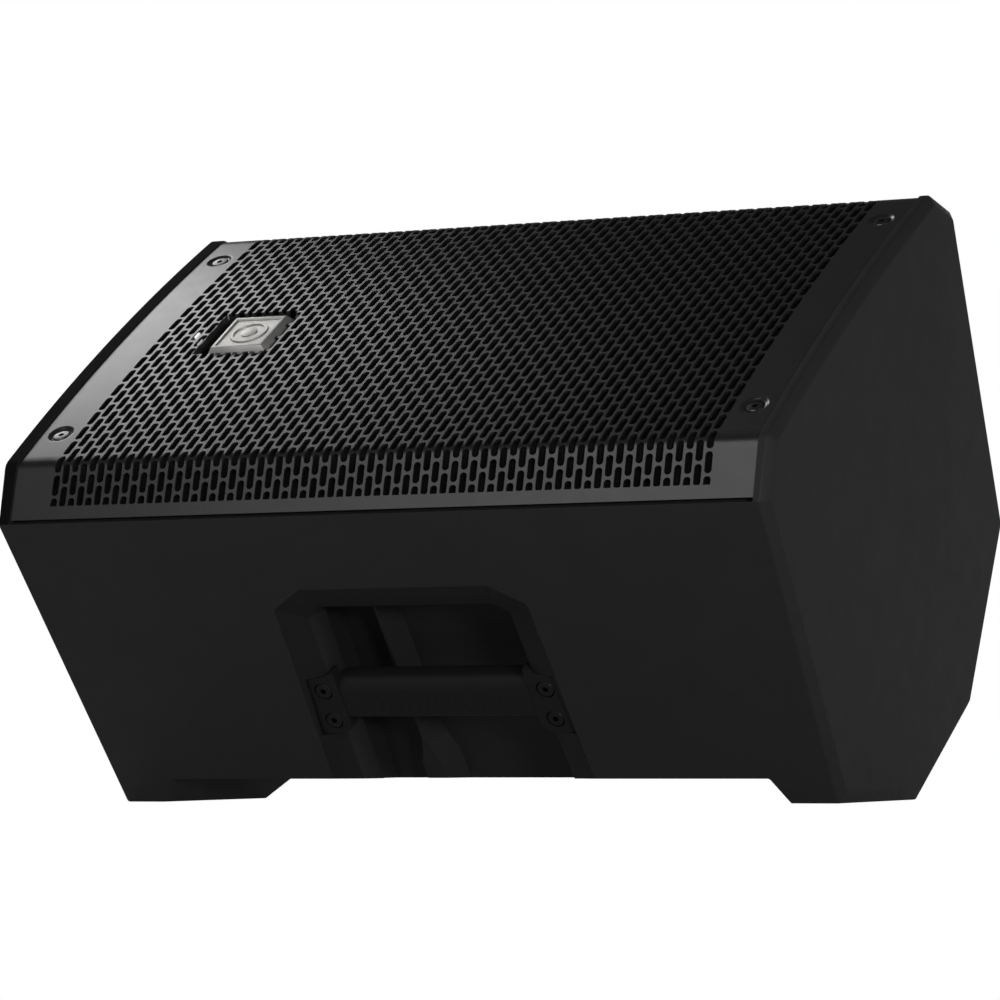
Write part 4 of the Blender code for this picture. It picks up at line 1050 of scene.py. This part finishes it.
def make_screws(base, places, axes, height, mesh, look, flip=False):
    """One screw at each place."""
    for number, (across, up) in enumerate(places, 1):
        name = "%s_%d" % (base, number)
        turn = Matrix.Rotation(math.pi, 4, "X") if flip else Matrix.Identity(4)
        spin = Matrix.Rotation(0.5 + 1.3 * number, 4, "Z")
        screw = placed("socket_" + name, mesh.copy(), axes @ Matrix.Translation((across, up, height)))
        screw.matrix_world = screw.matrix_world @ turn @ spin
        dressed(screw, "cabinet", LOOKS[look], [name])


# ---- badge and light ----
def make_badge():
    """A block with sloping sides, a raised rim and a plain ring in place of any mark."""
    foot = -0.0028
    top = bow(BADGE_Y) - GRILLE_SINK + 0.0026
    shape = box_shape((1.0, 1.0, 1.0))
    for vertex in shape.verts:
        size = BADGE_TOP if vertex.co.z > 0 else BADGE_FOOT
        height = top if vertex.co.z > 0 else foot + bow(BADGE_Y)
        vertex.co = (vertex.co.x * size[0], vertex.co.y * size[1], height)
    upper = [edge for edge in shape.edges if any(v.co.z > 0 for v in edge.verts)]
    bevelled(shape, upper, 0.0005)
    inset_crown(shape, (0.0012, 0.0), (0.0006, -0.0008))
    badge = solid("badge_plate", shape, SPEAKER, (BADGE_X, BADGE_Y, 0.0))
    floor = top - 0.0008
    marks = []
    rise = 0.00065
    low = floor - 0.0004
    outer, inner, boss = 0.0112, 0.0090, 0.0048
    ring = [(outer, low), (outer, floor + rise - 0.0002), (outer - 0.0002, floor + rise),
            (inner, floor + rise), (inner, low), (outer, low)]
    dome = [(0.0, low), (boss, low), (boss, floor + rise * 0.6), (boss * 0.6, floor + rise),
            (0.0, floor + rise * 1.1)]
    for profile in (ring, dome):
        marks.append(solid("mark", turned_shape(profile, 64), SPEAKER, (BADGE_X, BADGE_Y, 0.0)))
    carved(badge, marks, "UNION")
    return dressed(badge, "cabinet", LOOKS["badge"], ["badge"], 25)


def make_light():
    """The lit end of the light pipe, rounded like the slot that it fills."""
    half, radius = 0.0018, 0.0009
    outline = rounded([(-radius, -half - radius), (radius, -half - radius), (radius, half + radius),
                       (-radius, half + radius)], [radius * 0.98] * 4)
    top = bow(LIGHT_Y) - GRILLE_SINK + 0.0001
    shape = prism_shape(outline, -0.0010, top)
    inset_crown(shape, (0.0003, 0.0002))
    light = solid("light_pipe", shape, SPEAKER, (LIGHT_X, LIGHT_Y, 0.0))
    return dressed(light, "cabinet", LOOKS["lamp"], ["power_light"])


# ---- handle ----
def make_handle():
    """The bar across the pocket, rounded over its top, with fine grip ridges and an end plate each side."""
    low = BAR_MIDDLE - BAR_HEIGHT / 2
    high = BAR_MIDDLE + BAR_HEIGHT / 2
    back = BAR_FRONT + BAR_THICK
    section = rounded([(low, BAR_FRONT), (low, back), (high, back), (high, BAR_FRONT)],
                      [0.0075, 0.006, 0.005, 0.0022], steps=8)
    half = PLATE_INNER + 0.002
    bar = solid("carry_handle", prism_shape(section, -half, half, along_length()), SIDE)
    plates = []
    for side in (-1, 1):
        shape = prism_shape(plate_outline(side), PLATE_FRONT, PLATE_BACK)
        front = [edge for edge in shape.edges if all(v.co.z < PLATE_FRONT + 1e-6 for v in edge.verts)]
        bevelled(shape, front, 0.0004)
        plates.append(solid("end_plate", shape, SIDE))
    ridges = 14
    ridge_pitch = 0.0056
    for number in range(ridges):
        x = (number - (ridges - 1) / 2) * ridge_pitch
        ridge = box_shape((0.0030, 0.0062, 0.0010), (x, BAR_MIDDLE + 0.0035, BAR_FRONT + 0.0002), 0.0003)
        plates.append(solid("ridge", ridge, SIDE))
    carved(bar, plates, "UNION")
    seats = [drills("shank_holes", SHANK_HOLE, handle_screw_places(), -0.005, 0.02, SIDE),
             drills("head_seats", 0.0053, handle_screw_places(), -0.005, PLATE_FRONT + 0.0034, SIDE, 40)]
    carved(bar, seats)
    return dressed(bar, "cabinet", LOOKS["handle"], ["handle_bar"])


# ---- CAD nodes that stay, with better finishes ----
KEPT = {
    "baffle": ["front_baffle", "horn_waveguide", "port_tube_1", "port_tube_2"],
    "plated": ["woofer_basket", "woofer_top_plate", "woofer_yoke"],
    "ferrite": ["woofer_magnet", "compression_driver"],
    "paper": ["woofer_cone", "dust_cap"],
    "rubber": ["surround"],
    "cloth": ["spider"],
    "winding": ["voice_coil", "transformer"],
    "panel": ["rear_panel"],
    "socket": ["switch_frame", "aux_jack", "jack_latch_1", "jack_latch_2", "capacitor_1", "capacitor_2"],
    "control": ["power_rocker"],
    "board": ["amp_board"],
    "aluminium": ["heat_sink", "encoder_shaft"],
    "screw": ["panel_screw_%d" % number for number in range(1, 5)],
}


def refinish_kept():
    """Give every CAD node that stays its finish."""
    for look, names in KEPT.items():
        for name in names:
            mesh = frame["nodes"][name].data
            mesh.materials.clear()
            mesh.materials.append(LOOKS[look])
            mesh.shade_smooth()
            mesh.set_sharp_from_angle(angle=math.radians(35))


# ---- rear panel and badge end, in finer detail ----
def add_shape(target, part, place=(0.0, 0.0, 0.0), axes=None):
    """Add one bmesh to another, placed in a set of axes."""
    bmesh.ops.recalc_face_normals(part, faces=part.faces)
    mesh = bpy.data.meshes.new("part")
    part.to_mesh(mesh)
    part.free()
    mesh.transform((axes or Matrix.Identity(4)) @ Matrix.Translation(place))
    count = len(target.faces)
    target.from_mesh(mesh)
    bpy.data.meshes.remove(mesh)
    return list(target.faces)[count:]


def fluted_shape(profile, flutes, depth, low, high):
    """A turned shape whose side is fluted between two heights."""
    shape = turned_shape(profile, flutes * 4)
    for vertex in shape.verts:
        if low <= vertex.co.z <= high and math.hypot(vertex.co.x, vertex.co.y) > 0.004:
            angle = math.atan2(vertex.co.y, vertex.co.x)
            vertex.co.xy *= 1.0 - depth * (0.5 + 0.5 * math.cos(flutes * angle))
    return shape


def make_dial(name, part, place, profile, pointer, side):
    """A fluted knob with a pale pointer line on its top; side is where its flutes start and stop."""
    shape = bmesh.new()
    add_shape(shape, fluted_shape(profile, 24, 0.045, *side))
    top = max(height for _, height in profile)
    line = box_shape((pointer[1] - pointer[0], 0.0009, 0.0004),
                     ((pointer[0] + pointer[1]) / 2, 0.0, top - 0.00005), 0.0001, 1)
    for face in add_shape(shape, line):
        face.material_index = 1
    dial = solid(name, shape, REAR, (*place, 0.0))
    return dressed(dial, part, [LOOKS["control"], LOOKS["marking"]], [part])


def make_dials():
    """The two gain knobs and the menu knob."""
    gain = [(0.0, 0.0098), (0.0040, 0.0098), (0.0048, 0.0104), (0.0058, 0.0108), (0.0064, 0.0102),
            (0.0066, 0.0092), (0.0069, 0.0024), (0.0070, 0.0012), (0.0030, 0.0012), (0.0030, -0.0068),
            (0.0, -0.0068)]
    for number, place in enumerate(GAIN_PLACES, 1):
        make_dial("gain_dial_%d" % number, "gain_knob_%d" % number, place, gain, (0.0030, 0.0060),
                  (0.0020, 0.0095))
    menu = [(0.0, 0.0098), (0.0046, 0.0098), (0.0054, 0.0103), (0.0064, 0.0107), (0.0070, 0.0101),
            (0.0072, 0.0094), (0.0074, 0.0020), (0.0075, 0.0012), (0.0033, 0.0012), (0.0033, 0.0073),
            (0.0, 0.0073)]
    make_dial("menu_dial", "encoder_knob", (ENCODER_X, 0.0), menu, (0.0040, 0.0066), (0.0018, 0.0096))


def fitted_copy(source, name, parts):
    """A CAD node's own shape with contacts added inside it."""
    shape = bmesh.new()
    shape.from_mesh(frame["nodes"][source].data)
    for face in shape.faces:
        face.material_index = 0
    for part, place in parts:
        for face in add_shape(shape, part, place, REAR):
            face.material_index = 1
    made = solid(name, shape, Matrix.Identity(4))
    return dressed(made, "cabinet", [LOOKS["socket"], LOOKS["contact"]], [source], 30)


def pin_shape(radius, low, high, ring=0.0):
    """A contact pin with a rounded tip, or a sleeve when a ring is set."""
    if ring:
        return turned_shape([(ring, low), (radius, low), (radius, high), (ring, high), (ring, low)], 24)
    tip = radius * 0.6
    return turned_shape([(0.0, low), (radius, low), (radius, high - tip), (radius * 0.75, high - tip * 0.3),
                         (0.0, high)], 20)


def round_places(middle, radius, angles):
    """Places on a circle round a point on the panel's middle line, from angles in degrees."""
    arms = [math.radians(angle) for angle in angles]
    return [(middle + radius * math.cos(arm), radius * math.sin(arm), 0.0) for arm in arms]


def make_contacts():
    """The sockets and the mains inlet with their pins and sleeves."""
    well = -0.0141
    for number, x in enumerate(JACK_X, 1):
        parts = [(pin_shape(0.0041, well, well + 0.0022, 0.0033), (x, 0.0, 0.0))]
        parts += [(pin_shape(0.0011, well, well + 0.0030, 0.0007), place)
                  for place in round_places(x, 0.0058, (90, 210, 330))]
        fitted_copy("combo_jack_%d" % number, "combo_socket_%d" % number, parts)
    fitted_copy("link_output", "link_socket", [(pin_shape(0.0009, well, -0.0030), place)
                                               for place in round_places(LINK_X, 0.0046, (-90, 30, 150))])
    blades = [(box_shape((0.0020, 0.0042, 0.0118), (0, 0, -0.0098), 0.0005), (INLET_X + x, y, 0.0))
              for x, y in ((-0.0068, -0.0022), (0.0, 0.0022), (0.0068, -0.0022))]
    fitted_copy("mains_inlet", "mains_socket", blades)


def make_screen():
    """The display's window: a rounded frame round slightly sunken glass."""
    shape = box_shape((0.0200, 0.0340, 0.0020), (0, 0, -0.0008), 0.0004, 2)
    crown = max(shape.faces, key=lambda face: (round(face.calc_center_median().z, 6), face.calc_area()))
    bmesh.ops.inset_region(shape, faces=[crown], thickness=0.0014, depth=0.0)
    bmesh.ops.inset_region(shape, faces=[crown], thickness=0.0004, depth=-0.0004)
    for face in shape.faces:
        face.material_index = int(face == crown)
    screen = solid("display_window", shape, REAR, (SCREEN_X, 0.0, 0.0))
    return dressed(screen, "cabinet", [LOOKS["socket"], LOOKS["screen"]], ["screen_window"])


def make_end_pieces():
    """The ringed rubber pads and the pole cup with a chamfered mouth."""
    low = -0.0012
    top = low + PAD_THICK
    edge = PAD_RADIUS
    for number, place in enumerate(PAD_PLACES, 1):
        profile = [(0.0, top - 0.0010), (0.0036, top - 0.0010), (0.0041, top - 0.0003),
                   (0.0053, top - 0.0003), (0.0058, top - 0.0010), (0.0070, top - 0.0010), (0.0076, top),
                   (edge - 0.0010, top), (edge - 0.0003, top - 0.0004), (edge, top - 0.0010), (edge, low),
                   (0.0, low)]
        name = "rubber_pad_%d" % number
        pad = solid(name, turned_shape(profile, 48), END, (*place, 0.0))
        dressed(pad, "cabinet", LOOKS["rubber"], ["end_pad_%d" % number], 25)
    sleeve = POLE_RADIUS + 0.0037
    profile = [(0.0, -POLE_DEPTH), (POLE_RADIUS, -POLE_DEPTH), (POLE_RADIUS, -0.0018),
               (POLE_RADIUS + 0.0016, -0.0001), (POLE_RIM - 0.0050, -0.0001), (POLE_RIM - 0.0046, -0.0005),
               (POLE_RIM - 0.0040, -0.0005), (POLE_RIM - 0.0036, -0.0001), (POLE_RIM - 0.0005, -0.0001),
               (POLE_RIM, -0.0006), (POLE_RIM, -0.0020), (sleeve, -0.0020), (sleeve, -POLE_DEPTH - 0.0030),
               (0.0, -POLE_DEPTH - 0.0030)]
    cup = solid("pole_socket", turned_shape(profile, 72), END,
                 (POLE_CENTRE, 0.0, 0.0))
    dressed(cup, "cabinet", LOOKS["cup"], ["pole_cup"], 25)


# ---- stage ----
def seen_and_lit(tree, output, seen, lit):
    """One shader for what is seen of the surroundings and another for the light that they give."""
    mix = node(tree, "MixShader", Fac=node(tree, "LightPath").outputs["Is Camera Ray"])
    tree.links.new(lit, mix.inputs[1])
    tree.links.new(seen, mix.inputs[2])
    node(tree, output, Surface=mix.outputs["Shader"])


def make_floor():
    """A wide pale floor, dimmer in reflections than to the eye so that it doesn't flood the black plastic."""
    mesh = bpy.data.meshes.new("floor")
    reach = 40.0
    mesh.from_pydata([(-reach, -reach, 0), (reach, -reach, 0), (reach, reach, 0), (-reach, reach, 0)], [],
                     [(0, 1, 2, 3)])
    floor = placed("floor", mesh, Matrix.Translation((0.0, 0.0, -0.0002)))
    made = bpy.data.materials.new("floor_look")
    made.use_nodes = True
    tree = made.node_tree
    tree.nodes.clear()
    dim = node(tree, "AddShader")
    tree.links.new(node(tree, "BsdfDiffuse", Color=(0.50, 0.50, 0.50, 1.0)).outputs["BSDF"], dim.inputs[0])
    tree.links.new(node(tree, "Emission", Strength=0.11).outputs["Emission"], dim.inputs[1])
    pale = node(tree, "Emission", Color=WHITE)
    seen_and_lit(tree, "OutputMaterial", pale.outputs["Emission"], dim.outputs["Shader"])
    mesh.materials.append(made)


def make_world():
    """White behind the object; for its lighting, bright near the horizon and dim overhead."""
    world = bpy.data.worlds.new("studio")
    bpy.context.scene.world = world
    world.use_nodes = True
    tree = world.node_tree
    tree.nodes.clear()
    up = node(tree, "SeparateXYZ", Vector=node(tree, "TexCoord").outputs["Generated"]).outputs["Z"]
    soft = node(tree, "Background", Color=WHITE, Strength=ranged(tree, up, 0.42, 0.055, 0.05, 0.6))
    white = node(tree, "Background", Color=WHITE)
    seen_and_lit(tree, "OutputWorld", white.outputs["Background"], soft.outputs["Background"])


def make_light_panel(name, place, aim, size, power):
    """A soft square light that faces a point."""
    lamp = bpy.data.lights.new(name, "AREA")
    lamp.shape = "RECTANGLE"
    lamp.size = size[0]
    lamp.size_y = size[1]
    lamp.energy = power
    made = bpy.data.objects.new(name, lamp)
    bpy.context.scene.collection.objects.link(made)
    made.location = place
    made.rotation_euler = (Vector(aim) - Vector(place)).to_track_quat("-Z", "Y").to_euler()


def make_camera():
    """A long lens close to the floor, looking at the near side and the plain end."""
    camera = bpy.data.objects.new("camera", bpy.data.cameras.new("camera"))
    bpy.context.scene.collection.objects.link(camera)
    turn = Vector(CAMERA_AIM).to_track_quat("-Z", "Y").to_matrix().to_4x4()
    camera.matrix_world = (Matrix.Translation(CAMERA_PLACE) @ turn @ Matrix.Rotation(CAMERA_ROLL, 4, "Z"))
    camera.data.lens = CAMERA_LENS
    camera.data.sensor_width = 36.0
    camera.data.clip_start = 0.05
    bpy.context.scene.camera = camera


def make_stage():
    """Floor, surroundings, lights and camera."""
    make_floor()
    make_world()
    make_light_panel("key", (-1.35, 0.78, 1.60), (-0.22, -0.05, 0.25), (0.6, 0.6), 5.8)
    make_light_panel("front", (-0.35, -1.55, 1.15), (0.0, -0.15, 0.22), (1.3, 0.7), 7.0)
    make_light_panel("right", (2.2, -0.9, 0.9), (0.2, 0.0, 0.15), (1.0, 0.8), 8.0)
    make_light_panel("low", (2.0, -1.9, 0.22), (0.0, -0.25, 0.10), (0.5, 0.35), 24.0)
    make_light_panel("back", (-0.7, 2.2, 0.45), (0.0, 0.15, 0.15), (1.2, 0.6), 30.0)
    make_camera()
    bpy.context.scene.view_settings.view_transform = "Standard"


make_stage()
make_shell()
make_grille()
make_foam()
# the grille screws take the lighter copy of the screw metal: painted reflection
make_screws("grille_screw", grille_screw_places(), SPEAKER, 0.0004,
            screw_mesh("grille_screw_mesh", 0.0048, 0.0024, 0.0025, 0.0120, 0.0018, False), "screw_painted_reflection")
make_badge()
make_light()
make_handle()
make_screws("handle_screw", handle_screw_places(), SIDE, PLATE_FRONT + 0.0002,
            screw_mesh("handle_screw_mesh", 0.0049, 0.0028, 0.0025, 0.0180, 0.0018, True), "screw", True)
make_dials()
make_contacts()
make_screen()
make_end_pieces()
refinish_kept()
